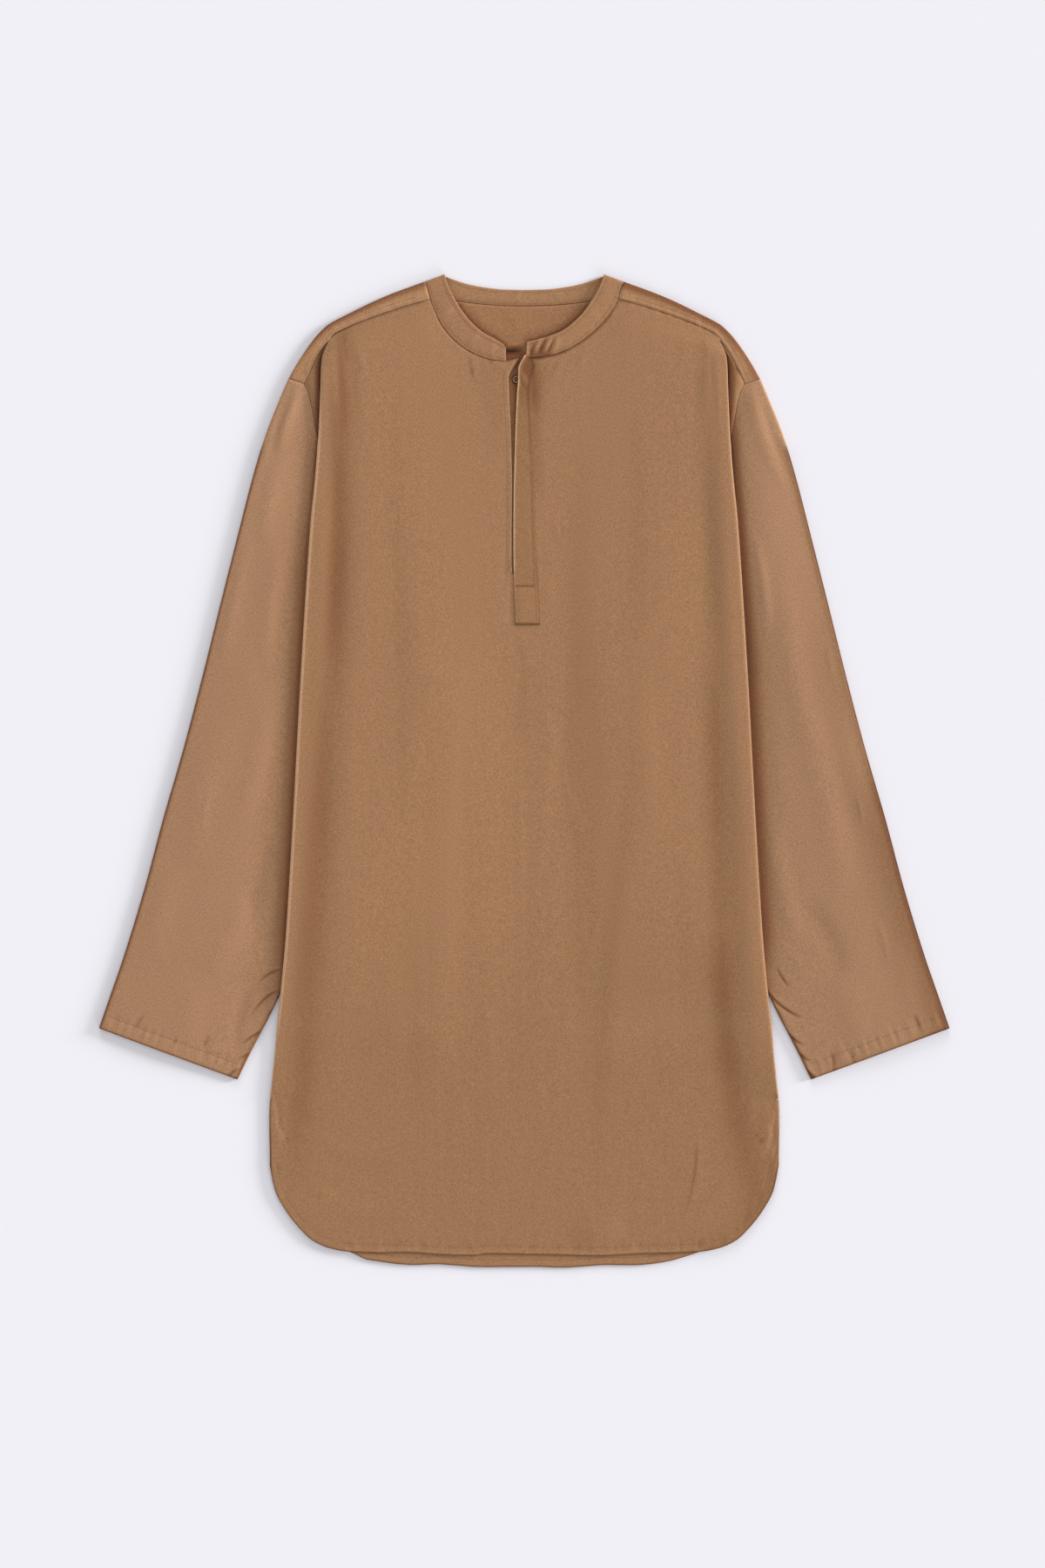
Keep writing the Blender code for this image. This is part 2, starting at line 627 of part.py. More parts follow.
def band_half(front_stations, back_stations, side):
    """One half of the collar band, from its front end round the shoulder fold to the back."""
    columns = []
    for s in front_stations:
        lift = BAND_LIFT if s is not front_stations[-1] else BAND_LIFT / 2
        columns.append(band_strip((s.seam_x, s.seam_y, PANEL), (s.top_x, s.top_y, PANEL), lift))
    fold = BAND_FOLD
    length = math.hypot(fold.seam_x - fold.top_x, fold.seam_y - fold.top_y)
    out = ((fold.top_y - fold.seam_y) / length, (fold.seam_x - fold.top_x) / length)
    roll = (PANEL - FLOOR) / 2
    for k in range(OUTER_BEND + 1):
        angle = math.pi * (0.5 - k / OUTER_BEND)
        away = roll * math.cos(angle) - roll - CLOTH / 2
        z = FLOOR + roll + roll * math.sin(angle)
        columns.append(band_strip((fold.seam_x + out[0] * away, fold.seam_y + out[1] * away, z),
                                  (fold.top_x + out[0] * away, fold.top_y + out[1] * away, z), 0.0))
    for s in back_stations:
        columns.append(band_strip((s.seam_x, s.seam_y, FLOOR), (s.top_x, s.top_y, FLOOR), 0.0))
    return [[(side * x, y, z) for x, y, z in column] for column in columns]


def make_collar_band():
    """The stand collar: one strip round the neck, open at the front."""
    left = band_half(BAND_LEFT, BAND_BACK, 1.0)
    right = band_half(BAND_RIGHT, BAND_BACK[:-1], -1.0)
    add_cloth("collar_band", left + right[::-1], (0.352, 0.184, 0.095))


def sleeve_line(inner_x, inner_y, slant):
    """The outer end of a sleeve section that starts at an inner point."""
    x = inner_x + 20.0
    for _ in range(40):
        x = mix(x, read(SLEEVE_OUTER, "x", inner_y + slant * (x - inner_x)), 0.7)
    return x, inner_y + slant * (x - inner_x)


def sleeve_section(inner, outer, closed):
    """A flattened ring of the sleeve: upper layer, outer fold, lower layer, underarm fold."""
    length = math.hypot(outer[0] - inner[0], outer[1] - inner[1])
    along = ((outer[0] - inner[0]) / length, (outer[1] - inner[1]) / length)
    outer_roll = (PANEL - FLOOR) / 2
    inner_roll = (SLEEVE_UNDER - FLOOR) / 2
    far = length - outer_roll - CLOTH / 2
    near = inner_roll + CLOTH / 2 if closed else 0.0
    covered = near
    while covered < far * 0.9:
        x, y = inner[0] + along[0] * covered, inner[1] + along[1] * covered
        if x > read(SIDE, "edge", y) + 2.0:
            break
        covered += 0.5
    covered = max(covered, near + length * 0.06)
    start_z = arm_layer(inner[1]) if not closed else SLEEVE_UNDER
    section = [(near, start_z), (mix(near, covered, 0.5), start_z)]
    for k in range(UPPER_STEPS):
        t = k / UPPER_STEPS
        puff = SLEEVE_PUFF * math.sin(math.pi * t) * min(length / PUFF_WIDTH, 1.0)
        section.append((mix(covered, far, t), mix(start_z, PANEL, ease(t * 1.6)) + puff))
    for k in range(OUTER_BEND + 1):
        angle = math.pi * (0.5 - k / OUTER_BEND)
        section.append((far + outer_roll * math.cos(angle),
                        FLOOR + outer_roll + outer_roll * math.sin(angle)))
    for t in (0.7, 0.35, 0.0):
        section.append((mix(near, far, t), FLOOR))
    for k in range(1, INNER_BEND):
        angle = math.pi * k / INNER_BEND
        section.append((near - inner_roll * math.sin(angle),
                        FLOOR + inner_roll - inner_roll * math.cos(angle)) if closed else None)
    return [(inner[0] + along[0] * p[0], inner[1] + along[1] * p[0], p[1]) if p else None
            for p in section]


def make_sleeve(name, side):
    """A sleeve laid flat: open along the armhole, a closed tube below the underarm."""
    tip = SHOULDER[-1]
    drop = SEAM * 0.95
    rows = [sleeve_section((tip.seam_x + SEAM / 3, tip.seam_y - drop),
                           (tip.fold_x + SEAM / 3, tip.fold_y - drop), False)]
    closed_rows = []
    for y in SLEEVE_Y:
        closed = y <= UNDERARM
        x = read(SLEEVE_INNER, "x", y) if closed else read(ARMHOLE, "x", y) + SEAM
        slant = mix(SLANT_TOP, SLANT_CUFF, ease((UNDERARM - y) / (UNDERARM - SLEEVE_Y[-1])))
        if closed:
            closed_rows.append(len(rows))
        rows.append(sleeve_section((x, y), sleeve_line(x, y, slant), closed))
    rows = [[(side * p[0], p[1], p[2]) if p else None for p in row] for row in rows]
    add_cloth(name, rows, (0.392, 0.212, 0.118), closed_rows[:-1])


def make_placket():
    """The strip that laps over the opening, with its sewn box at the lower end."""
    heights = {y for y in FRONT_Y if STRIP[0].y < y < JOIN} | {row.y for row in STRIP}
    rows = []
    for y in sorted(heights | {JOIN, *STRIP_STEPS}):
        free, sewn, lift = (read(STRIP, column, y) for column in ("free", "sewn", "lift"))
        row = []
        for t in (0.0, 0.25, 0.5, 0.75, 1.0):
            x = mix(free, sewn, t)
            base = front_height(x, y, read(SIDE, "edge", y), EDGE_TOP) + STRIP_LAYER
            row.append((x, y, base + lift * ease(1.0 - t)))
        rows.append(row)
    add_cloth("placket", rows, (0.325, 0.162, 0.078))


def make_underlap():
    """The strip behind the opening, which carries the button."""
    rows = []
    steps = 8
    for k in range(steps + 1):
        y = mix(UNDERLAP_TOP, UNDERLAP_END, k / steps)
        rows.append([(mix(UNDERLAP_LEFT, UNDERLAP_RIGHT, t), y, UNDERLAP_LAYER)
                     for t in (0.0, 0.5, 1.0)])
    add_cloth("placket_underlap", rows, (0.230, 0.112, 0.056))


def make_button():
    """A round button with a raised rim, a dish and four thread holes."""
    rim = BUTTON_RADIUS - BUTTON_RIM
    outline = [
        (0.0, BUTTON_THICK - BUTTON_DISH),
        (rim - 0.4, BUTTON_THICK - BUTTON_DISH),
        (rim, BUTTON_THICK - 0.1),
        (BUTTON_RADIUS - 0.4, BUTTON_THICK),
        (BUTTON_RADIUS, BUTTON_THICK - 0.45),
        (BUTTON_RADIUS - 0.1, 0.5),
        (BUTTON_RADIUS - 0.8, 0.0),
        (0.0, 0.0),
    ]
    mesh = bpy.data.meshes.new("button")
    mesh.from_pydata([(x * MM, 0.0, z * MM) for x, z in outline],
                     [(k, k + 1) for k in range(len(outline) - 1)], [])
    button = new_object("button", mesh, (0.150, 0.082, 0.045), 0.45)
    button.location = (BUTTON_X * MM, BUTTON_Y * MM, (UNDERLAP_LAYER + CLOTH / 2 + 0.3) * MM)
    turned = button.modifiers.new("turned", "SCREW")
    turned.steps = turned.render_steps = 28
    turned.use_merge_vertices = True
    turned.merge_threshold = 0.00001
    turned.use_smooth_shade = True
    for k in range(4):
        angle = math.pi * (0.25 + k / 2)
        bpy.ops.mesh.primitive_cylinder_add(vertices=10, radius=THREAD_HOLE * MM, depth=0.01)
        hole = bpy.context.object
        hole.name = "thread_hole_%d" % (k + 1)
        hole.location = button.location
        hole.location.x += THREAD_SPREAD * MM * math.cos(angle)
        hole.location.y += THREAD_SPREAD * MM * math.sin(angle)
        for old in list(hole.users_collection):
            old.objects.unlink(hole)
        cutters.objects.link(hole)
        hole.hide_render = True
        hole.display_type = "WIRE"
        cut = button.modifiers.new(hole.name, "BOOLEAN")
        cut.operation = "DIFFERENCE"
        cut.solver = "EXACT"
        cut.object = hole


for leftover in list(bpy.data.objects):
    bpy.data.objects.remove(leftover, do_unlink=True)
shirt = bpy.data.collections.new("long_shirt")
cutters = bpy.data.collections.new("cutters")
bpy.context.scene.collection.children.link(shirt)
bpy.context.scene.collection.children.link(cutters)

make_back()
make_yoke()
make_sleeve("sleeve_left", 1.0)
make_sleeve("sleeve_right", -1.0)
make_front()
make_collar_band()
make_underlap()
make_button()
make_placket()
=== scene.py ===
import json
import math
from collections import namedtuple

import bpy
import numpy as np
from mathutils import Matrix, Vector
from mathutils.bvhtree import BVHTree

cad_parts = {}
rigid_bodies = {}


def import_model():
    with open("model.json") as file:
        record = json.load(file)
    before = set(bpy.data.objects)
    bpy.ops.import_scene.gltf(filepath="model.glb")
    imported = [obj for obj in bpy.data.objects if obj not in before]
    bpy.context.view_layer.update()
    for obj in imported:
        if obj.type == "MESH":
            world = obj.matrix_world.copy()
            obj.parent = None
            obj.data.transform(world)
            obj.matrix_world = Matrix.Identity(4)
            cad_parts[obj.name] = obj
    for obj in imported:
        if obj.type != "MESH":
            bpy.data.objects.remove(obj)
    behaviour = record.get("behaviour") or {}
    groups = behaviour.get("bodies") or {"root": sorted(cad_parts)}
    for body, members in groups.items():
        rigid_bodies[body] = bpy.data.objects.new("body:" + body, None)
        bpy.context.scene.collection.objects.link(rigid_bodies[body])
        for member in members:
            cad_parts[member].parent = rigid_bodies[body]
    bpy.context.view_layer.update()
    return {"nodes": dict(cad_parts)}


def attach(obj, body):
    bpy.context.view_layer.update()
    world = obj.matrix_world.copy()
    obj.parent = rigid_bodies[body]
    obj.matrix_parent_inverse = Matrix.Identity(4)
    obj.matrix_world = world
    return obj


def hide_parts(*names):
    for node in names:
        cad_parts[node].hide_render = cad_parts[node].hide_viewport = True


for leftover in list(bpy.data.objects):
    bpy.data.objects.remove(leftover)
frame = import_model()

# The surface, the light and the camera. The shirt lies on plain pale paper in soft
# light from above and all round, with a low key from the right; the camera is overhead.
PAPER_WHITE = (0.722, 0.713, 0.748, 1)
PAPER_SIZE = 14.0
paper = bpy.data.materials.new("pale_paper")
paper.use_nodes = True
paper_look = paper.node_tree.nodes["Principled BSDF"].inputs
paper_look["Base Color"].default_value = PAPER_WHITE
paper_look["Roughness"].default_value = 0.9
bpy.ops.mesh.primitive_plane_add(size=PAPER_SIZE, location=(0, 0, -0.0002))
floor = bpy.context.object
floor.name = "floor"
floor.data.materials.append(paper)

Lamp = namedtuple("Lamp", "name toward strength spread")
LAMPS = [
    Lamp("overhead_light", (0.05, 0.05, 1), 0.35, 60),
    Lamp("key_from_right", (1, 0.3, 0.23), 4, 15),
    Lamp("low_from_front", (0.5, -0.87, 0.36), 0.8, 24),
    Lamp("low_from_behind", (-0.1, 1, 0.32), 1.2, 24),
]
for lamp in LAMPS:
    light = bpy.data.lights.new(lamp.name, "SUN")
    light.energy = lamp.strength
    light.angle = math.radians(lamp.spread)
    shining = bpy.data.objects.new(lamp.name, light)
    shining.rotation_euler = Vector(lamp.toward).to_track_quat("Z", "Y").to_euler()
    bpy.context.scene.collection.objects.link(shining)
ROOM_LIGHT = (0.98, 0.98, 1, 1)
ROOM_STRENGTH = 0.637
room = bpy.data.worlds.new("room")
room.use_nodes = True
room_air = room.node_tree.nodes["Background"].inputs
room_air["Color"].default_value = ROOM_LIGHT
room_air["Strength"].default_value = ROOM_STRENGTH
bpy.context.scene.world = room
bpy.context.scene.view_settings.view_transform = "Standard"

CAMERA_AT = (-0.00164, -0.0123, 3.486)
lens = bpy.data.cameras.new("camera")
lens.lens = 85.0
lens.sensor_width = 36.0
camera = bpy.data.objects.new("camera", lens)
camera.location = CAMERA_AT
bpy.context.scene.collection.objects.link(camera)
bpy.context.scene.camera = camera

# The cloth itself: a camel brown viscose crepe, plain woven with slightly uneven
# threads. Every panel is cut from it; painted shade on a panel's top darkens its
# hollows and painted highlights lighten its edges and crests, all through this ramp,
# and its underside stays plain.
PAINTED_LIGHT_RAMP = [
    (0.00, (0.10, 0.06, 0.04)),
    (0.08, (0.38, 0.26, 0.18)),
    (0.25, (0.60, 0.46, 0.36)),
    (0.40, (0.86, 0.85, 0.80)),
    (0.50, (1.00, 1.00, 1.00)),
    (0.75, (1.15, 1.18, 1.21)),
    (1.00, (1.90, 2.20, 2.60)),
]
PLAIN_TONE = 0.5
WARP_THREADS = (1500, 520, 400)
WEFT_THREADS = (480, 1400, 400)
STREAKS = (150, 9, 20)
GRAIN = 1.35
WEAVE_DEPTH = 0.0004
UNDERSIDE, TOPSIDE = -0.45, -0.15


def node(tree, kind, inputs, **settings):
    """Adds a node and gives its outputs. An input is a plain value or the output feeding it."""
    made = tree.nodes.new("ShaderNode" + kind)
    for name, value in settings.items():
        setattr(made, name, value)
    for socket, value in inputs.items():
        if isinstance(value, bpy.types.NodeSocket):
            tree.links.new(value, made.inputs[socket])
        else:
            made.inputs[socket].default_value = value
    return made.outputs


def colour_ramp(tree, driven_by, stops):
    """The colour that a value picks from a ramp with these stops."""
    ramp = node(tree, "ValToRGB", {"Fac": driven_by})
    elements = ramp["Color"].node.color_ramp.elements
    while len(elements) < len(stops):
        elements.new(0.5)
    for element, (place_on_ramp, colour) in zip(elements, stops):
        element.position = place_on_ramp
        element.color = (*colour, 1)
    return ramp["Color"]


def crepe(name, colour, grain_turn=0.0, grain=1.0):
    """The crepe in one brown, with its grain turned by an angle and made more or less strong."""
    material = bpy.data.materials.new(name)
    material.use_nodes = True
    tree = material.node_tree
    place = node(tree, "TexCoord", {})["Object"]
    turned = node(tree, "Mapping", {"Vector": place, "Rotation": (0, 0, grain_turn)})["Vector"]

    def threads(stretch, detail):
        mapped = node(tree, "Mapping", {"Vector": turned, "Scale": stretch})["Vector"]
        return node(tree, "TexNoise", {"Vector": mapped, "Scale": 1, "Detail": detail})["Fac"]

    def sums(kind, first, second):
        return node(tree, "Math", {0: first, 1: second}, operation=kind)["Value"]

    warp, weft = threads(WARP_THREADS, 1), threads(WEFT_THREADS, 1)
    streaks = threads(STREAKS, 2)
    weave = sums("ADD", sums("MULTIPLY", warp, 0.55), sums("MULTIPLY", weft, 0.45))
    speckle = sums("ADD", sums("MULTIPLY", weave, 0.95), sums("MULTIPLY", streaks, 0.05))

    # The light and shade painted on each point, shown on all but the faces turned down.
    painted_light = node(tree, "Attribute", {}, attribute_name="painted_light")["Fac"]
    facing = node(tree, "NewGeometry", {})["Normal"]
    upward = node(tree, "SeparateXYZ", {"Vector": facing})["Z"]
    painted = node(tree, "MapRange", {"Value": upward, "From Min": UNDERSIDE, "From Max": TOPSIDE})
    shown = sums("MULTIPLY", sums("SUBTRACT", painted_light, PLAIN_TONE), painted["Result"])
    stops = [(at, [channel * share for channel, share in zip(colour, shares)])
             for at, shares in PAINTED_LIGHT_RAMP]
    shaded = colour_ramp(tree, sums("ADD", shown, PLAIN_TONE), stops)
    depth = sums("MULTIPLY", sums("SUBTRACT", speckle, 0.5), GRAIN * grain)
    grained = node(tree, "HueSaturation", {"Value": sums("ADD", depth, 1), "Color": shaded})
    bump = node(tree, "Bump", {"Strength": 0.55, "Distance": WEAVE_DEPTH, "Height": weave})

    shader = tree.nodes["Principled BSDF"].inputs
    tree.links.new(grained["Color"], shader["Base Color"])
    tree.links.new(bump["Normal"], shader["Normal"])
    for socket, value in (("Roughness", 0.86), ("Specular IOR Level", 0.22),
                          ("Sheen Weight", 0.12), ("Sheen Roughness", 0.45)):
        shader[socket].default_value = value
    return material


# The back: one panel of crepe, flat on the paper from the yoke's seam to a rounded
# hem that shows past the front's. Its side edges are sewn to the front and the sleeves.
# All sizes are in millimetres, and heights are of the middle of a cloth layer.
MM = 0.001
CLOTH = 1.2
WALL = 1.1
SEAM = 0.35
FLOOR = CLOTH / 2
PANEL = 3.75
LOWER_PANEL = 2.7
LAP = 2.15
TUCK = 4.2
EDGE_TOP = 7.4
ARMHOLE_TOP = 364.2
UNDERARM = 90.0
VENT = -308.0
BACK_ROW_STEP = 5.0
BACK_HEM_ROW = 7.0
BACK_SHOWS = -446.0
BACK_BROWN = (0.290, 0.149, 0.070)

# The front's side fold at each height: its edge, the layer that it lies on and its top.
Side = namedtuple("Side", "y edge tuck rise")
SIDE = [Side(*row) for row in (
    (-371, 239.4, LAP, LOWER_PANEL), (-333, 240.3, LAP, LOWER_PANEL), (VENT, 239.3, LAP, 3.4),
    (-294, 237.8, LAP, PANEL), (-263, 234.7, LAP, 3.9), (-240, 232.8, 3, 5.6),
    (-214, 229.9, TUCK, EDGE_TOP), (-160, 224.8, TUCK, EDGE_TOP), (-53, 218.1, TUCK, EDGE_TOP),
    (72, 211.4, TUCK, EDGE_TOP), (152, 206.6, TUCK, EDGE_TOP), (234, 201, TUCK, EDGE_TOP),
    (275, 197, TUCK, EDGE_TOP), (300, 195, TUCK, EDGE_TOP), (325, 193.8, TUCK, EDGE_TOP),
)]

# The armhole's seam, and the sleeve's fold along the body below the underarm.
Point = namedtuple("Point", "y x")
ARMHOLE = [Point(*row) for row in (
    (UNDERARM, 120), (110, 127.5), (150, 143.5), (200, 160), (250, 175.5), (290, 188),
    (322, 196.4), (342, 199.8), (355, 203), (ARMHOLE_TOP, 207.4),
)]
SLEEVE_INNER = [Point(*row) for row in (
    (-290.4, 269.8), (-268, 259), (-250, 249.7), (-232, 240.3), (-209, 229.5), (-130, 197),
    (-50, 168.5), (20, 145), (UNDERARM, 120.4),
)]

# Both hems from the middle out to the slit, and how unevenly each one lies.
Hem = namedtuple("Hem", "x front back")
HEM = [Hem(*row) for row in (
    (0, -455.5, -467.4), (70, -454.8, -466.8), (115, -453.8, -464.6), (140, -453.4, -461.6),
    (166, -452.2, -450.5), (182, -449.3, -446.5), (198, -442.6, -439), (213, -428.6, -424),
    (226, -411.2, -404), (235, -393.5, -378), (239.4, -371, -352),
)]
HEM_WAVE = [Hem(*row) for row in (
    (-180, 0, 0), (-167, 0, -2.2), (-152, 0, -2.6), (-138, 0, 0.2), (-111, 0.8, 0),
    (-80, -0.4, 2.2), (-60, -0.9, 1.2), (-44, -0.7, 0.2), (-37, 0.7, 0.2), (-26, 0.9, 0.3),
    (7, 0.7, 0.7), (37, -0.4, -0.3), (56, -1.2, 0.6), (75, -1.5, 1.7), (93, -0.9, 0.8),
    (108, -0.5, 0), (141, -0.2, 0.6), (162, 0, -2.4), (178, 0, 0),
)]


def ease(t):
    t = np.clip(t, 0.0, 1.0)
    return t * t * (3.0 - 2.0 * t)


def past(value, start, run):
    """0 up to the start, then softly up to 1 over the run."""
    return ease((value - start) / run)


def below(value, start, run):
    """0 down to the start, then softly up to 1 over the run below it."""
    return ease((start - value) / run)


def beside(distance, width):
    """1 on a line, softly down to nothing at about twice the width from it."""
    return np.exp(-(distance / width) ** 2)


def mix(a, b, t):
    return a + (b - a) * t


def curve(keys, values, at):
    """Smooth values between the keys, with no overshoot."""
    keys, values, at = (np.asarray(v, float) for v in (keys, values, at))
    chords = np.diff(values) / np.diff(keys)
    slopes = np.concatenate((chords[:1], np.zeros(len(keys) - 2), chords[-1:]))
    before, after = chords[:-1], chords[1:]
    same = before * after > 0
    slopes[1:-1][same] = (2 * before * after)[same] / (before + after)[same]
    i = np.clip(np.searchsorted(keys, at, "right") - 1, 0, len(keys) - 2)
    span = keys[i + 1] - keys[i]
    t = np.clip((at - keys[i]) / span, 0.0, 1.0)
    return ((2 * t ** 3 - 3 * t ** 2 + 1) * values[i]
            + (t ** 3 - 2 * t ** 2 + t) * span * slopes[i]
            + (3 * t ** 2 - 2 * t ** 3) * values[i + 1]
            + (t ** 3 - t ** 2) * span * slopes[i + 1])


def read(rows, column, at):
    """A column of a table, read at places along its first column."""
    return curve([row[0] for row in rows], [getattr(row, column) for row in rows], at)


def spread(low, high, step):
    """Even places from one value to another, about a step apart."""
    return np.linspace(low, high, max(2, math.ceil(abs(high - low) / step) + 1))


def side_seam(y):
    """The back's side edge between the underarm and the slit."""
    return np.minimum(read(SLEEVE_INNER, "x", y) - 7.0, read(SIDE, "edge", y) - 5.5)


# A soft fold runs between two places, bowed to one side. A width and a height of
# its own make each one different, and a negative height is a trough.
Fold = namedtuple("Fold", "x1 y1 x2 y2 bow width height")


def folded(x, y, folds):
    """The height of all these folds together at points."""
    total = np.zeros(np.shape(x))
    for f in folds:
        length = math.hypot(f.x2 - f.x1, f.y2 - f.y1)
        ux, uy = (f.x2 - f.x1) / length, (f.y2 - f.y1) / length
        along = ((x - f.x1) * ux + (y - f.y1) * uy) / length
        across = (y - f.y1) * ux - (x - f.x1) * uy - f.bow * 4 * along * (1 - along)
        ends = np.sin(math.pi * np.clip(along, 0, 1)) ** 0.7
        total += f.height * ends * beside(across, f.width)
    return total


def waver(s, start=0.0):
    """An uneven ripple along a seam, between -1 and 1."""
    return (0.5 * np.sin(s * 0.62 + 1.7 * np.sin(s * 0.071 + start))
            + 0.3 * np.sin(s * 0.31 + start * 2.0 + 1.2 * np.sin(s * 0.043))
            + 0.2 * np.sin(s * 1.13 + 2.0 * np.sin(s * 0.09 + start)))


def nearest(x, y, line):
    """For each point, how far the line is and how far along it the nearest place lies."""
    line = np.asarray(line, float)
    best = np.full(np.shape(x), 1e9)
    place = np.zeros(np.shape(x))
    run = 0.0
    for a, b in zip(line[:-1], line[1:]):
        length = math.hypot(*(b - a)) or 1e-9
        ux, uy = (b - a) / length
        t = np.clip((x - a[0]) * ux + (y - a[1]) * uy, 0.0, length)
        d = np.hypot(x - a[0] - ux * t, y - a[1] - uy * t)
        closer = d < best
        best[closer] = d[closer]
        place[closer] = run + t[closer]
        run += length
    return best, place


def stitched_relief(x, y, line, inset, start, depth, pucker, reach):
    """The groove that a row of stitches pulls beside an edge, and the puckers on both sides."""
    away, along = nearest(x, y, line)
    puckers = pucker * waver(along, start) * beside(away - inset * 0.8, reach)
    return puckers - depth * beside(away - inset, 1.5)


def show(name, mesh, material, painted_light):
    """Puts a mesh in the scene with its material and the light and shade painted on its points."""
    layer = mesh.attributes.new("painted_light", "FLOAT", "POINT")
    layer.data.foreach_set("value", painted_light.astype(np.float32))
    mesh.materials.append(material)
    mesh.shade_smooth()
    piece = bpy.data.objects.new(name, mesh)
    bpy.context.scene.collection.objects.link(piece)
    return piece


def cloth(name, points, material, wall, painted_light, closed=()):
    """A cloth piece from a grid of points in millimetres, open where the grid is empty."""
    points = np.asarray(points, float)
    rows, columns = points.shape[:2]
    there = ~np.isnan(points[:, :, 0])
    number = np.cumsum(there).reshape(rows, columns) - 1
    faces = []
    for i in range(rows - 1):
        for j in range(columns if i in closed else columns - 1):
            k = (j + 1) % columns
            if there[i, j] and there[i + 1, j] and there[i + 1, k] and there[i, k]:
                faces.append((number[i, j], number[i + 1, j], number[i + 1, k], number[i, k]))
    mesh = bpy.data.meshes.new(name)
    mesh.from_pydata((points[there] * MM).tolist(), [], faces)
    shades = np.clip(PLAIN_TONE + np.broadcast_to(painted_light, there.shape), 0.0, 1.0)
    piece = show(name, mesh, material, shades[there])
    thick = piece.modifiers.new("wall", "SOLIDIFY")
    thick.thickness = wall * MM
    thick.offset = 0.0
    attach(piece, "root")
    return piece


BACK_FOLDS = [Fold(*row) for row in (
    (-60, 300, -95, -60, 10, 16, 0.5), (40, 330, 72, 20, -8, 14, 0.45),
    (-20, 120, -48, -360, 8, 18, 0.5), (88, 40, 120, -330, -10, 17, 0.5),
    (-118, -40, -150, -300, 6, 15, 0.45), (10, -140, 30, -420, 5, 14, 0.4),
    (-90, 210, -70, 120, 4, 6, 0.35), (60, -250, 90, -330, 4, 6, 0.4),
    (-150, -330, -120, -420, -5, 7, 0.4), (130, -350, 150, -420, 5, 7, 0.35),
)]


def back_rows():
    """Level rows down to the side slits, then rows that turn into the rounded hem."""
    rows = []
    shares = np.linspace(-1.0, 1.0, 97)
    for y in (*spread(ARMHOLE_TOP - SEAM, UNDERARM, BACK_ROW_STEP),
              *spread(UNDERARM - 4, VENT, BACK_ROW_STEP)):
        half = read(ARMHOLE, "x", y) if y >= UNDERARM else side_seam(y)
        rows.append(np.stack((shares * half, np.full(shares.shape, y)), 1))
    outer = HEM[-1].x - 2.0
    hem_y = read(HEM, "back", np.abs(shares) * outer + 2.0) + read(HEM_WAVE, "back", shares * outer)
    for fall in (*spread(0.03, 0.9, 0.035), *spread(0.915, 1.0, 0.014)):
        x = shares * mix(side_seam(mix(VENT, hem_y, fall)), outer, fall)
        rows.append(np.stack((x, mix(VENT, hem_y, fall)), 1))
    return np.array(rows)


places = back_rows()
x, y = places[:, :, 0], places[:, :, 1]
back_hem = places[-1]
room_above = past(side_seam(np.clip(y, VENT, UNDERARM)) - np.abs(x), 8, 30)
lift = np.maximum(folded(x, y, BACK_FOLDS), 0.0) * room_above
hem_relief = stitched_relief(x, y, back_hem, BACK_HEM_ROW,
                             start=0.4, depth=0.2, pucker=0.35, reach=6)
lift = lift + below(y, BACK_SHOWS, 8) * (0.8 + hem_relief)
# Painted on the back: light on the crests of its folds, and painted shade along its hem's edge.
to_back_hem, _ = nearest(x, y, back_hem)
back = cloth("back_panel", np.dstack((x, y, FLOOR + np.maximum(lift, 0.0))),
             crepe("back_crepe", BACK_BROWN), WALL,
             folded(x, y, BACK_FOLDS) * 0.03 - 0.25 * beside(to_back_hem, 1.0))
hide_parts("back")

# The yoke: one piece over the upper back and both shoulders, with a seam to the
# front on each side. Two rows of topstitches beside that seam pucker it a little.
Shoulder = namedtuple("Shoulder", "fold_x fold_y seam_x seam_y")
SHOULDER = [Shoulder(*row) for row in (
    (107.5, 455.5, 100, 440.9), (125, 449, 117.5, 435.8), (145, 440.3, 137.5, 429),
    (164.5, 430.6, 157, 421.8), (179.5, 423, 171.5, 415.4), (185.5, 419.3, 177.5, 412.4),
    (189.5, 415.8, 181.2, 409.2), (196, 408.9, 186.6, 402.4), (205, 397, 193.7, 391.6),
    (213.5, 384, 200.6, 378.4), (222, 369, 207.4, ARMHOLE_TOP),
)]
YOKE_TAPER = ARMHOLE[-1].x / SHOULDER[-1].fold_x
YOKE_BROWN = (0.348, 0.181, 0.088)

# Half of the neck, from the front end of the band to the shoulder fold: seam is
# the band's lower edge and top its free edge.
Band = namedtuple("Band", "seam_x seam_y top_x top_y")
BAND_LEFT = [Band(*row) for row in (
    (1.5, 388.2, 2.6, 403.6), (16, 389, 14, 406.3), (30, 392.2, 25.5, 409.8),
    (44, 398.2, 36.5, 414.7), (57.5, 407, 46.5, 422.4), (69.5, 417.4, 55.5, 431.5),
    (79.5, 428.6, 63, 442.4), (88.3, 444.1, 69.6, 453.6), (90.5, 452.5, 72.8, 461),
)]
BAND_RIGHT = [Band(*row) for row in (
    (17.2, 385.5, 17.6, 399.8), (30, 386.6, 27, 406), (44, 391, 37.5, 411.6),
    (57.5, 398.4, 47.5, 419.6), (69.5, 409, 56.5, 430), (79.5, 422.4, 63.8, 441.2),
    (88.3, 444.1, 70.2, 453.4), (90.5, 452.5, 73.2, 461),
)]
BAND_FOLD = Band(92.9, 460.8, 75.2, 467.4)
BAND_BACK = [Band(*row) for row in (
    (80, 449.4, 66, 462.2), (64, 442.8, 54, 458.4), (44, 439.7, 38, 455.2),
    (22, 438, 20, 453.2), (0, 437.4, 0, 452.6),
)]
BACK_STEPS = 30
ROLL_STEPS = 8
FRONT_STEPS = 7
NOWHERE = (np.nan,) * 3


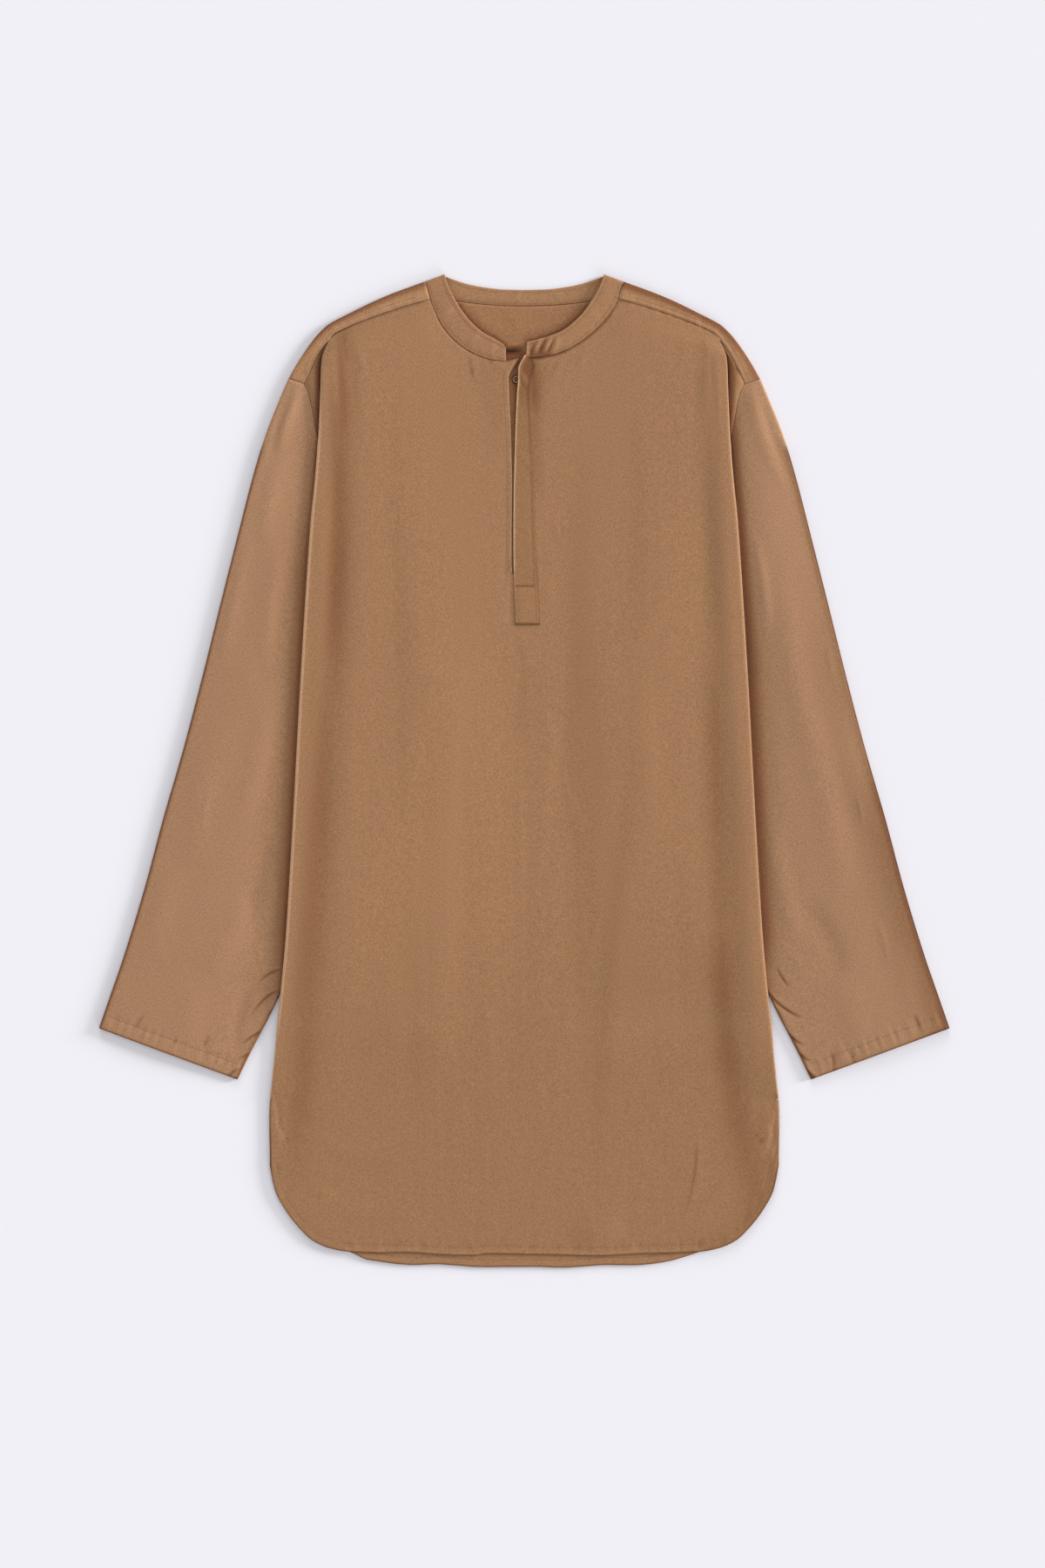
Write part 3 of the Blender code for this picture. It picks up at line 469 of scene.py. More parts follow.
def finer(rows, step):
    """The same table with more rows, at most a step apart along its first two columns."""
    values = np.array(rows, float)
    runs = np.hypot(*np.diff(values[:, :2], axis=0).T)
    keys = np.concatenate(([0.0], np.cumsum(runs)))
    at = [keys[0]]
    for start, run in zip(keys, runs):
        parts = math.ceil(run / step)
        at.extend(start + run * (k + 1) / parts for k in range(parts))
    columns = [curve(keys, values[:, c], at) for c in range(values.shape[1])]
    return [type(rows[0])(*row) for row in np.array(columns).T]


def step_off(x, y, from_x, from_y, distance):
    """A place moved by a distance, straight away from another."""
    length = math.hypot(x - from_x, y - from_y)
    return x + (x - from_x) / length * distance, y + (y - from_y) / length * distance


def neck_edge(stations):
    """The body's side of the collar seam."""
    return [step_off(s.seam_x, s.seam_y, s.top_x, s.top_y, SEAM) for s in stations]


def half_turn(radius):
    """A fold's round from the floor up: steps outward and heights."""
    angles = [math.pi * (k / ROLL_STEPS - 0.5) for k in range(ROLL_STEPS + 1)]
    return [(radius * math.cos(a), FLOOR + radius + radius * math.sin(a)) for a in angles]


def up_to(foot, top):
    """Up the back from the yoke's lower edge, with no shoulder."""
    rise = [(*mix(np.array(foot), np.array(top), k / BACK_STEPS), FLOOR)
            for k in range(BACK_STEPS + 1)]
    return rise + [NOWHERE] * (ROLL_STEPS + FRONT_STEPS)


def over_shoulder(fold, seam, foot):
    """Up the back, over the shoulder and down to the front seam."""
    roll = (PANEL - FLOOR) / 2
    axis = np.array(step_off(*fold, *seam, -CLOTH / 2 - roll))
    out = (np.array(fold) - axis) / (roll + CLOTH / 2)
    return ([(*mix(np.array(foot), axis, k / BACK_STEPS), FLOOR) for k in range(BACK_STEPS)]
            + [(*(axis + out * away), z) for away, z in half_turn(roll)]
            + [(*mix(axis, np.array(seam), k / FRONT_STEPS), PANEL)
               for k in range(1, FRONT_STEPS + 1)])


def yoke_half():
    """The yoke's columns from beside the middle of the back out to the shoulder point."""
    half = [up_to((x * YOKE_TAPER, ARMHOLE_TOP), (x, y))
            for x, y in reversed(neck_edge(finer(BAND_BACK, 3.5)[:-1]))]
    fold = step_off(BAND_FOLD.seam_x, BAND_FOLD.seam_y, BAND_FOLD.top_x, BAND_FOLD.top_y, SEAM)
    beside_neck = Shoulder(*fold, *neck_edge([BAND_LEFT[-2]])[0])
    for row in finer([beside_neck] + SHOULDER, 3.2):
        foot = (row.fold_x * YOKE_TAPER, ARMHOLE_TOP)
        half.append(over_shoulder((row.fold_x, row.fold_y), (row.seam_x, row.seam_y), foot))
    return half


yoke_left = np.array(yoke_half())
middle = up_to((0.0, ARMHOLE_TOP), neck_edge(BAND_BACK[-1:])[0])
yoke_points = np.concatenate((yoke_left[::-1] * (-1, 1, 1), [middle], yoke_left))
yoke_seam = np.array([(row.seam_x, row.seam_y) for row in finer(SHOULDER, 4)])
YOKE_FOLDS = [Fold(*row) for row in (
    (150, 428, 166, 420, 2, 3, 0.5), (-128, 440, -150, 430, 2, 3.5, 0.45),
    (196, 396, 204, 372, 2, 3.5, 0.5), (-192, 404, -206, 374, -2, 3.5, 0.55),
)]
NECK_FOLDS = [Fold(*row) for row in (
    (-52, 436, -34, 414, 3, 5, 0.35), (30, 434, 44, 412, -3, 4.5, 0.3),
    (-14, 436, -4, 404, 2, 6, 0.3),
)]
x, y, z = (yoke_points[:, :, k] for k in range(3))
here_x, here_y = np.nan_to_num(x), np.nan_to_num(y)
on_front = np.nan_to_num(z) > 2.0
inside_neck = ~on_front & (np.abs(x) < 75.0)
relief = stitched_relief(np.abs(x), y, yoke_seam, 4.2,
                         start=0.9, depth=0.22, pucker=0.3, reach=3.5)
relief = np.where(on_front, relief + folded(x, y, YOKE_FOLDS), 0.0)
relief += np.where(inside_neck, folded(x, y, NECK_FOLDS), 0.0)

# Painted shade over the shoulder: the yoke is painted dark at the fold and lighter
# towards its seam. Inside the neck the painted shadow is darkest behind the opening and
# under the band.
rolled = np.clip(np.arange(z.shape[1]) - BACK_STEPS, 0, ROLL_STEPS) / ROLL_STEPS
seamward = np.clip(np.arange(z.shape[1]) - BACK_STEPS - ROLL_STEPS, 0, FRONT_STEPS)
shoulder_painted_shade = np.interp(rolled, (0.4, 0.5, 0.75, 1), (-0.5, -0.5, -0.42, -0.3))
shoulder_painted_shade = shoulder_painted_shade + np.interp(seamward, (0, 1, 2, 3, 4), (0, 0.05, 0.15, 0.24, 0.3))
shoulder_painted_shade = shoulder_painted_shade * mix(np.where(x > 0, 0.7, 0.4), 1.0, past(y, 385, 30))
shoulder_painted_shade = shoulder_painted_shade + 0.05 * (x < 0)
behind_gap = np.exp(-((y - 395.5) / 3.7) ** 4) * np.exp(-((x + 8.5) / 13.0) ** 6)
gap_shadow = np.interp(x, (-16, -11, -6, -1, 2), (0.36, 0.37, 0.31, 0.14, -0.04))
to_left, _ = nearest(here_x, here_y, [(s.top_x, s.top_y) for s in BAND_LEFT[::-1]])
to_right, _ = nearest(-here_x, here_y, [(s.top_x, s.top_y) for s in BAND_RIGHT])
to_band = np.minimum(to_left, to_right)
band_shadow = 0.22 * beside(to_band, 1.6) + 0.07 * beside(to_band, 6)
neck_painted_shade = -0.14 - gap_shadow * behind_gap - band_shadow * (1.0 - behind_gap)
yoke = cloth("yoke_panel", np.dstack((x, y, z + relief)), crepe("yoke_crepe", YOKE_BROWN), WALL,
             np.where(on_front, shoulder_painted_shade, neck_painted_shade))
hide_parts("yoke")

# The sleeves: one piece of crepe each, sewn under the arm and to the armhole, laid
# flat. The upper layer stands a little off the lower one, with drag lines from the
# shoulder, creases in the crook of the arm, and a plain stitched hem at the cuff.
SLEEVE_OUTER = [Point(*row) for row in (
    (-242, 400.4), (-209, 389), (-176, 377.6), (-111, 357.7), (-45, 340), (20, 321.2),
    (86, 303.8), (152, 287.4), (217, 271), (283, 253.9), (316, 243.6), (348, 231),
    (369, 222.1),
)]
SLEEVE_UNDER = 2.6
SLEEVE_PUFF = 0.9
CUFF_INNER = -290.4
LEAVES_BODY = -214.0
SLANT_TOP = 0.32
SLANT_CUFF = 0.371
GRAIN_TURN = 0.28
CUFF_ROW = 14.0
ROW_STEP = 4.0
CUFF_ROW_STEP = 2.0
CAP_ROWS = (361.5, 358.5, 354.5, 349.5, 343.0)
CAP_END = 338.0
CUFF_FROM = -152.0
CUFF_ROWS = (-287.6, -288.8, -289.7, CUFF_INNER)
COVERED_STEPS = 6
UPPER_STEPS = 84
LOWER_STEPS = 22
INNER_STEPS = 4
ROUND = COVERED_STEPS + UPPER_STEPS
SLEEVE_BROWN = (0.314, 0.167, 0.087)


def arm_layer(y):
    """The height of the sleeve's upper layer along the armhole."""
    return mix(SLEEVE_UNDER, PANEL, past(y, CAP_END, ARMHOLE_TOP - CAP_END))


def sleeve_line(inner_x, inner_y, slant):
    """Where a slanting line across the sleeve meets its outer edge."""
    x = inner_x + 20.0
    for _ in range(40):
        x = mix(x, read(SLEEVE_OUTER, "x", inner_y + slant * (x - inner_x)), 0.7)
    return x, inner_y + slant * (x - inner_x)


def sleeve_section(inner, outer, closed):
    """A flattened ring of the sleeve, from the part that the body covers all the way round."""
    inner, outer = np.array(inner), np.array(outer)
    length = math.hypot(*(outer - inner))
    along = (outer - inner) / length
    outer_roll, inner_roll = (PANEL - FLOOR) / 2, (SLEEVE_UNDER - FLOOR) / 2
    far = length - outer_roll - CLOTH / 2
    near = inner_roll + CLOTH / 2 if closed else 0.0
    steps = np.arange(near, far * 0.9, 0.5)
    reached = inner[0] + along[0] * steps
    under = reached <= read(SIDE, "edge", inner[1] + along[1] * steps) + 2.0
    covered = steps[np.argmin(under)] if not under.all() else steps[-1]
    covered = max(covered, near + length * 0.06)
    start_z = SLEEVE_UNDER if closed else arm_layer(inner[1])
    section = [(mix(near, covered, k / COVERED_STEPS), start_z) for k in range(COVERED_STEPS)]
    for t in np.arange(UPPER_STEPS) / UPPER_STEPS:
        puff = SLEEVE_PUFF * math.sin(math.pi * t) * min(length / 90.0, 1.0)
        section.append((mix(covered, far, t), mix(start_z, PANEL, ease(t * 1.6)) + puff))
    section += [(far + out, z) for out, z in half_turn(outer_roll)[::-1]]
    section += [(mix(near, far, 1 - k / LOWER_STEPS), FLOOR) for k in range(1, LOWER_STEPS + 1)]
    for k in range(1, INNER_STEPS + 1):
        angle = math.pi * k / (INNER_STEPS + 1)
        section.append((near - inner_roll * math.sin(angle),
                        FLOOR + inner_roll - inner_roll * math.cos(angle))
                       if closed else (np.nan, np.nan))
    return [(*(inner + along * s), z) for s, z in section]


def sleeve_grid():
    """All rings of a sleeve from the shoulder point to the cuff, and which of them close."""
    drop = SEAM * 0.95
    tip = SHOULDER[-1]
    rows = [sleeve_section((tip.seam_x + SEAM / 3, tip.seam_y - drop),
                           (tip.fold_x + SEAM / 3, tip.fold_y - drop), False)]
    closed = []
    for y in (*CAP_ROWS, *spread(CAP_END, UNDERARM, ROW_STEP),
              *spread(UNDERARM - ROW_STEP, CUFF_FROM + CUFF_ROW_STEP, ROW_STEP),
              *spread(CUFF_FROM, -286, CUFF_ROW_STEP), *CUFF_ROWS):
        ring = y <= UNDERARM
        if ring:
            closed.append(len(rows))
        x = float(read(SLEEVE_INNER, "x", y)) if ring else float(read(ARMHOLE, "x", y)) + SEAM
        slant = mix(SLANT_TOP, SLANT_CUFF, below(y, UNDERARM, UNDERARM - CUFF_INNER))
        rows.append(sleeve_section((x, y), sleeve_line(x, y, slant), ring))
    return np.array(rows, float), closed[:-1]


# The broad folds of each sleeve, then its sharp creases, which are drawn darker with
# painted shade.
ARM_FOLDS = {
    "sleeve_left": [Fold(*row) for row in (
        (214, 362, 246, 262, -4, 7, 0.8), (222, 352, 256, 268, -3, 5, -0.5),
        (217, 220, 229, 130, 2, 5, 0.8), (236, 334, 250, 296, 0, 3.5, 0.9),
        (240, 326, 247, 290, 2, 3, -0.7), (246, 180, 272, 20, -6, 12, 0.8),
        (262, 60, 300, -120, 5, 13, 0.8), (300, 60, 330, -60, -6, 12, 0.6),
        (232, -40, 262, -170, -4, 9, 0.7), (262, -120, 296, -196, 6, 10, -0.9),
        (246, -168, 268, -205, 4, 6, 0.2), (300, -190, 318, -262, 0, 14, 0.6),
        (352, -160, 368, -246, 0, 11, 0.5), (330, -140, 341, -185, 2, 4, 0.35),
        (310, -20, 317, -52, 1, 3, 0.3), (285, 120, 290, 84, 1, 3, 0.3),
    )],
    "sleeve_right": [Fold(*row) for row in (
        (210, 364, 230, 298, 3, 6, 1.3), (219, 356, 240, 296, 3, 4.5, -0.8),
        (226, 300, 246, 214, 3, 8, 0.9), (236, 336, 249, 292, -2, 3, 0.9),
        (243, 298, 250, 281, 1, 2.4, 0.6), (228, 214, 244, 96, 3, 8, 0.7),
        (262, 220, 282, 90, 4, 11, 0.7), (238, 90, 270, -60, -5, 12, 0.9),
        (280, 50, 312, -90, 6, 14, 0.7), (236, -60, 258, -150, 3, 8, -0.7),
        (230, -198, 248, -240, -4, 6, 0.4), (254, -196, 271, -268, 6, 6, -0.8),
        (262, -120, 300, -190, -6, 13, 0.9), (326, -90, 348, -180, 5, 12, 0.6),
        (306, -205, 321, -262, 1, 12, 0.5), (344, -66, 350, -96, 1, 3, 0.35),
        (296, -20, 303, -60, 1, 3, 0.3),
    )],
}
CREASES = {
    "sleeve_left": [Fold(*row) for row in (
        (230, -208, 262, -232, -3, 1.5, 1), (238, -184, 250, -204, -1, 1.4, 0.7),
        (241, -234, 265, -258, -4, 1.5, 0.9), (258, -264, 270, -273, -1, 1.4, 0.8),
        (266, -280, 276, -290, -1, 1.5, 0.8), (289, -262, 292, -284, 1, 2.2, 0.8),
        (310, -258, 311, -276, -1, 2, 0.6), (366, -228, 372, -243, 1, 2.2, 0.45),
        (240, 334, 249, 296, 0, 2, 0.5), (330, -140, 341, -185, 2, 2, 0.25),
        (310, -20, 317, -52, 1, 1.8, 0.25),
    )],
    "sleeve_right": [Fold(*row) for row in (
        (231, -205, 257, -231, 3, 1.5, 0.9), (229, -186, 250, -199, 2, 1.4, 0.7),
        (245, -243, 266, -257, 1, 1.5, 0.9), (258, -265, 270, -271, 0, 1.4, 0.7),
        (268, -279, 279, -288, 1, 1.5, 0.9), (296, -248, 301, -262, 1, 2, 0.6),
        (357, -228, 366, -244, 1, 1.8, 0.6), (326, -248, 330, -258, 0, 1.8, 0.5),
        (250, 326, 262, 282, -1, 2, 0.4), (344, -66, 350, -96, 1, 2, 0.3),
        (352, -96, 362, -130, 1, 1.8, 0.3),
    )],
}

# Painted shade on a sleeve: the body's painted shadow beside it by distance, how much
# of that by height, and painted shade along the sleeve's outer edge by distance.
BODY_SHADOW = {
    "sleeve_left": (
        (0, 1, 2, 4, 6, 8, 10, 12, 15, 20, 30),
        (-0.5, -0.48, -0.44, -0.38, -0.31, -0.25, -0.2, -0.16, -0.11, -0.06, 0)),
    "sleeve_right": (
        (0, 1, 1.5, 3, 6, 8, 10, 12, 15, 20, 28, 40),
        (-0.5, -0.46, -0.36, -0.25, -0.19, -0.16, -0.13, -0.11, -0.09, -0.07, -0.04, 0)),
}
BODY_SHADOW_STRENGTH = {
    "sleeve_left": (
        (-250, -190, -150, 70, 130, 200, 300, 350),
        (0.3, 0.4, 0.85, 0.95, 1.1, 1.35, 1.4, 1.1)),
    "sleeve_right": (
        (-250, -190, -150, 300, 340),
        (0.5, 0.7, 1, 1, 0.4)),
}
RIM_SHADE = {
    "sleeve_left": (
        (2.2, 3.3, 5, 8, 15, 34),
        (-0.12, -0.09, -0.08, -0.07, -0.05, 0)),
    "sleeve_right": (
        (0, 0.8, 2, 4, 8, 15),
        (-0.18, -0.08, -0.03, -0.01, 0, 0)),
}
sleeve_points, sleeve_rings = sleeve_grid()
cuff_line = sleeve_points[-1, :ROUND, :2]
outer_line = sleeve_points[:, ROUND, :2]
inner_line = sleeve_points[sleeve_points[:, 0, 1] < -225.0, 0, :2]
x, y, z = (sleeve_points[:, :, k] for k in range(3))
column = np.arange(x.shape[1])[None, :]
body_edge = read(SIDE, "edge", y)
upper = (column < ROUND) & ((x > body_edge - 2.0) | (y < LEAVES_BODY))
round_edge = (column >= ROUND) & (column < ROUND + ROLL_STEPS + 1)
inner_roll = np.broadcast_to(column >= x.shape[1] - INNER_STEPS, x.shape)
to_edge, _ = nearest(x, y, outer_line)
to_cuff, along_cuff = nearest(x, y, cuff_line)
to_inner, _ = nearest(x, y, inner_line)
uncovered = np.maximum(past(x - body_edge, 1, 14), below(y, -222, 20)) * past(to_edge, 0, 12)
from_body = np.maximum(x - read(SIDE, "edge", np.maximum(y, -240.0)), 0.0)
from_body = from_body + 60.0 * below(y, -212, 26)
below_cap = 1.0 - past(y, 298, 22)
# Painted shade round the sleeve's outer roll, less up at the shoulder.
roll_shade = np.interp(column - ROUND, (0, 1, 2, 3, 4), (0, -0.12, -0.26, -0.38, -0.44))
roll_shade = roll_shade * below_cap
sleeves = {}
for name, side in (("sleeve_left", 1.0), ("sleeve_right", -1.0)):
    soft_folds = folded(x, y, ARM_FOLDS[name])
    creased = folded(x, y, CREASES[name])
    relief = (soft_folds - 0.7 * creased) * uncovered
    cuff_relief = stitched_relief(x, y, cuff_line, CUFF_ROW,
                                  start=0.3 + side, depth=0.3, pucker=0.35, reach=8)
    relief += cuff_relief * below(y, -205, 20) * past(to_edge, 0, 6)

    # Painted light and shade: the body's shadow on the sleeve, then the outer edge, the
    # folds and the cuff.
    shade = np.interp(from_body, *BODY_SHADOW[name]) * np.interp(y, *BODY_SHADOW_STRENGTH[name])
    rim = np.interp(to_edge, *RIM_SHADE[name])
    around = roll_shade * (1.25 if side > 0 else 1.0)
    shade += np.where(round_edge, rim + around, rim) * mix(-0.35, 1.0, below_cap)
    shade += np.clip(soft_folds * uncovered, -1.5, 1.5) * 0.05
    lit = folded(x - 1.2 * side, y - 1.6, CREASES[name])
    shade += np.where(upper, 0.24 * lit - 0.5 * creased, 0.0)
    pucker = 0.09 * waver(along_cuff * 1.6, 1.0 + side) + 0.03
    cuff_shade = pucker * beside(to_cuff - 12.0, 5.5) - 0.03 * beside(to_cuff - CUFF_ROW, 1.2)
    shade += np.where(upper, cuff_shade, 0.0)
    shade -= 0.34 * beside(to_cuff, 1.5) + 0.22 * beside(to_inner, 1.8)
    if name == "sleeve_left":
        outer_shade = 0.085 * (1.0 - past(to_edge, 8, 40)) + 0.07 * beside(to_edge, 2)
        shade -= outer_shade * below(y, 20, 60)
        shade += (0.18 - 0.22 * below_cap * beside(to_edge, 5)) * past(y, 90, 140)
    else:
        shade += (0.1 - 0.1 * below_cap * beside(to_edge, 3)) * past(y, 180, 80)
        shade += 0.09 * beside(to_edge - 10.0, 9) * past(y, 40, 140)
    shade = np.where(upper | round_edge, shade, np.where(inner_roll, -0.32, -0.2))
    material = crepe(name + "_crepe", SLEEVE_BROWN, GRAIN_TURN * side)
    piece = cloth(name + "_cloth", np.dstack((side * x, y, z + np.where(upper, relief, 0.0))),
                  material, WALL, shade, sleeve_rings)
    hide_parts(name)
    sleeves[name] = piece

# The front: one panel of crepe with a slit for the placket. Laid flat it is wider
# than the shoulders, so its sides turn under over the sleeves and pleat into the yoke.
FRONT_BROWN = (0.293, 0.151, 0.072)
FRONT_HEM_ROW = 7.5
LAP_WIDTH = 5.0
OVER_TUCK = 5.9
CORNER = 6
JOIN = 300.0
SLIT_END = 186.0
SLIT_SEWN = 0.5
GATHER_START, GATHER_END = 3.0, 40.0

# The pleat that each side fold runs into above JOIN, up to the shoulder's CORNER row: how
# far it turns in degrees, how long its turned part lies straight, and where it meets
# the armhole.
Pleat = namedtuple("Pleat", "y edge arm_y turn straight rise")
PLEAT = [Pleat(*row) for row in (
    (409.2, 181.2, ARMHOLE_TOP, 0, 0, PANEL), (404, 184.2, 361.5, 40, 0, 4.3),
    (397.5, 188, 358.5, 80, 0, 5.4), (389.5, 191, 354.5, 120, 0.4, 6.4),
    (378, 192.1, 349.5, 155, 1, 7), (362, 192.6, 343, 180, 5, EDGE_TOP),
    (344, 193.1, 334, 180, 9, EDGE_TOP), (325, 193.8, 320, 180, 10.5, EDGE_TOP),
    (300, 195, 300, 180, 12.3, EDGE_TOP),
)]

# The free edge of the slit, on the wearer's right, and broad soft ridges of the panel.
Slit = namedtuple("Slit", "y edge")
SLIT_EDGE = [Slit(*row) for row in (
    (SLIT_END, -11.5), (201, -11.8), (274, -11.4), (297, -11.9), (325, -12.5), (347, -13.7),
    (371, -14.5), (379, -11.4), (388.4, -5.2),
)]
Ridge = namedtuple("Ridge", "top_x bottom_x y_top y_bottom height reach")
RIDGES = [Ridge(*row) for row in (
    (-150, -176, 360, -380, 0.4, 24), (-92, -118, 330, -330, 0.4, 30),
    (-44, -30, 120, -420, 0.4, 26), (24, 28, 110, -360, 0.5, 22), (66, 96, 320, -300, 0.4, 28),
    (128, 150, 250, -430, 0.5, 26),
)]
EDGE_STEPS = 8
TURNED_STEPS = 9
TIGHT_STEPS = 5
AFTER_TURN = TIGHT_STEPS + 3
FOLD_COLUMNS = EDGE_STEPS + TURNED_STEPS + AFTER_TURN
COLUMN_STEP = 3.4
CREASED_LEFT, CREASED_RIGHT = (0.595, 0.685), (0.265, 0.325)


def ridge_height(x, y):
    """The height of the broad ridges together at points."""
    total = np.zeros(np.shape(x))
    for ridge in RIDGES:
        along = (ridge.y_top - y) / (ridge.y_top - ridge.y_bottom)
        across = x - mix(ridge.top_x, ridge.bottom_x, along)
        ends = np.sin(math.pi * np.clip(along, 0, 1)) ** 0.7
        total += ridge.height * beside(across, ridge.reach) * ends
    return total


def front_height(x, y, edge, rise):
    """Middle of the front layer at points, for the side fold's edge and height there."""
    x, y = np.asarray(x, float), np.asarray(y, float)
    level = mix(LOWER_PANEL, PANEL, past(y, 60, 110))
    out = np.abs(x)
    lifted = np.clip((rise - PANEL) / (EDGE_TOP - PANEL), 0.0, 1.0) * (y > VENT)
    seam = np.where(y > UNDERARM, read(ARMHOLE, "x", y), side_seam(y) - LAP_WIDTH)
    level = mix(level, OVER_TUCK, lifted * past(out, 14, seam - 32.0))
    level = mix(level, rise, past(out - edge, -34, 32) * (y > VENT))
    calm = past(edge - out, 0, 30) * np.where(y > 120.0, past(out, 12, 26), 1.0)
    return level + calm * ridge_height(x, y)


def bend(points, heading, turn, radius, steps):
    """Adds a bend to a section given as (x, z) points."""
    x, z = points[-1]
    side = 1.0 if turn > 0 else -1.0
    centre = (x - side * radius * math.sin(heading), z - side * radius * math.cos(heading))
    for k in range(1, steps + 1):
        angle = heading + turn * k / steps
        points.append((centre[0] + side * radius * math.sin(angle),
                       centre[1] + side * radius * math.cos(angle)))


def pleat_points(start, stop, along, turn, straight, rise, stop_z):
    """Beyond the side fold: under, back out, and on to the armhole seam."""
    turn = math.radians(turn)
    rolls = (rise - stop_z - straight * math.sin(turn)) / max(1.0 - math.cos(turn), 1e-6)
    section = [(0.0, rise)]
    bend(section, 0.0, turn, rolls * 2 / 3, EDGE_STEPS)
    x, z = section[-1]
    for k in range(1, TURNED_STEPS + 1):
        run = straight * k / TURNED_STEPS
        section.append((x + run * math.cos(turn), z - run * math.sin(turn)))
    bend(section, turn, -turn, rolls / 3, TIGHT_STEPS)
    x, z = section[-1]
    reach = (stop[0] - start[0]) * along[0] + (stop[1] - start[1]) * along[1]
    section += [(mix(x, reach, t), mix(z, stop_z, t)) for t in (0.33, 0.67, 1)]
    miss = (stop[0] - start[0] - along[0] * reach, stop[1] - start[1] - along[1] * reach)
    shares = np.arange(1, len(section)) / (len(section) - 1)
    return [(start[0] + along[0] * x + miss[0] * t, start[1] + along[1] * x + miss[1] * t, z)
            for (x, z), t in zip(section[1:], shares)]


def edge_start(edge, roll, turn=180.0):
    """Where the top layer begins to turn round a side fold with this edge."""
    return edge - CLOTH / 2 - roll * math.sin(math.radians(min(turn, 90.0)))


def shoulder_line(rows, step):
    """The front's side of the shoulder seam."""
    return [step_off(r.seam_x, r.seam_y, r.fold_x, r.fold_y, SEAM) for r in finer(rows, step)]


def neck_to_corner(stations, creased):
    """The front's top edge up to its pleat, with columns set closer where a crease falls."""
    tops = np.array(neck_edge(finer(stations[1:-1], COLUMN_STEP))
                    + shoulder_line(SHOULDER[:CORNER + 1], COLUMN_STEP))
    near, far = creased
    close = (tops[:-1, 0] > near * tops[-1, 0]) & (tops[:-1, 0] < far * tops[-1, 0])
    steps = [i + np.linspace(0, 1, 4 if sharp else 2)[:-1] for i, sharp in enumerate(close)]
    steps = np.concatenate(steps + [[len(tops) - 1.0]])
    return np.array([np.interp(steps, range(len(tops)), tops[:, k]) for k in (0, 1)]).T


def pleated_row(y, tops, shares, side):
    """A row above the join, where the side fold runs out into the pleat at the yoke."""
    edge, arm_y, turn, straight, rise = (float(read(PLEAT[::-1], c, y)) for c in Pleat._fields[1:])
    fall = (PLEAT[0].y - y) / (PLEAT[0].y - JOIN)
    stop_z = float(arm_layer(arm_y))
    start_x = edge_start(edge, (rise - stop_z) / 3, turn)
    xs, ys = shares * start_x, mix(tops[:, 1], JOIN, fall)
    zs = mix(PANEL, front_height(side * xs, ys, start_x, rise), ease(fall * 6.0))
    zs[-1] = rise
    row = list(zip(xs, ys, zs))
    stop = (float(read(ARMHOLE, "x", arm_y)), arm_y)
    along = np.array((stop[0] - start_x, stop[1] - ys[-1]))
    along = mix(np.array((1.0, 0.0)), along / math.hypot(*along), past(y, JOIN, 25))
    along /= math.hypot(*along)
    return row + pleat_points(row[-1], stop, along, turn, straight, rise, stop_z)


def tucked_row(y, shares, side):
    """A level row: over the side fold, then back to the armhole or onto the back's edge."""
    edge, tuck, rise = (float(read(SIDE, c, y)) for c in ("edge", "tuck", "rise"))
    start_x = edge_start(edge, (rise - tuck) / 2)
    if y >= UNDERARM:
        start_x = mix(edge_start(edge, (rise - SLEEVE_UNDER) / 3), start_x, below(y, 240, 90))
    xs = shares * start_x
    ys = np.full(xs.shape, y)
    row = list(zip(xs, ys, front_height(side * xs, ys, start_x, rise)))
    if y >= UNDERARM:
        stop_x = float(read(ARMHOLE, "x", y))
        straight = start_x - (stop_x - mix(4.0, 10.5, float(past(y, 225, 80))))
        return row + pleat_points((start_x, y), (stop_x, y), (1, 0), 180, straight, rise,
                                  SLEEVE_UNDER)
    section = [(start_x, rise)]
    bend(section, 0.0, math.pi, (rise - tuck) / 2, EDGE_STEPS)
    lap = float(side_seam(y)) - LAP_WIDTH
    inner = float(read(SLEEVE_INNER, "x", y))
    drop = mix(TUCK, LAP, float(below(y, UNDERARM, 25)))
    if inner + 1.5 < start_x - 2.0:
        knots = [(lap, drop), (inner - 6.0, drop), (inner + 1.5, TUCK), (start_x, tuck)]
    else:
        knots = [(lap, tuck), (start_x, tuck)]
    at = np.linspace(start_x, lap, TURNED_STEPS + 1)[1:]
    section += list(zip(at, np.interp(at, *zip(*knots))))
    return row + [(x, y, z) for x, z in section[1:]] + [NOWHERE] * AFTER_TURN


def vent_row(fall, shares, side):
    """A row of the single layer below the side slits, down to the rounded hem."""
    hem_x = shares * HEM[-1].x
    hem_y = read(HEM, "front", hem_x) + read(HEM_WAVE, "front", side * hem_x)
    ys = mix(VENT, hem_y, fall)
    xs = shares * mix(read(SIDE, "edge", ys), HEM[-1].x, fall)
    zs = front_height(side * xs, ys, HEM[-1].x + 30.0, LOWER_PANEL)
    return list(zip(xs, ys, zs)) + [NOWHERE] * FOLD_COLUMNS


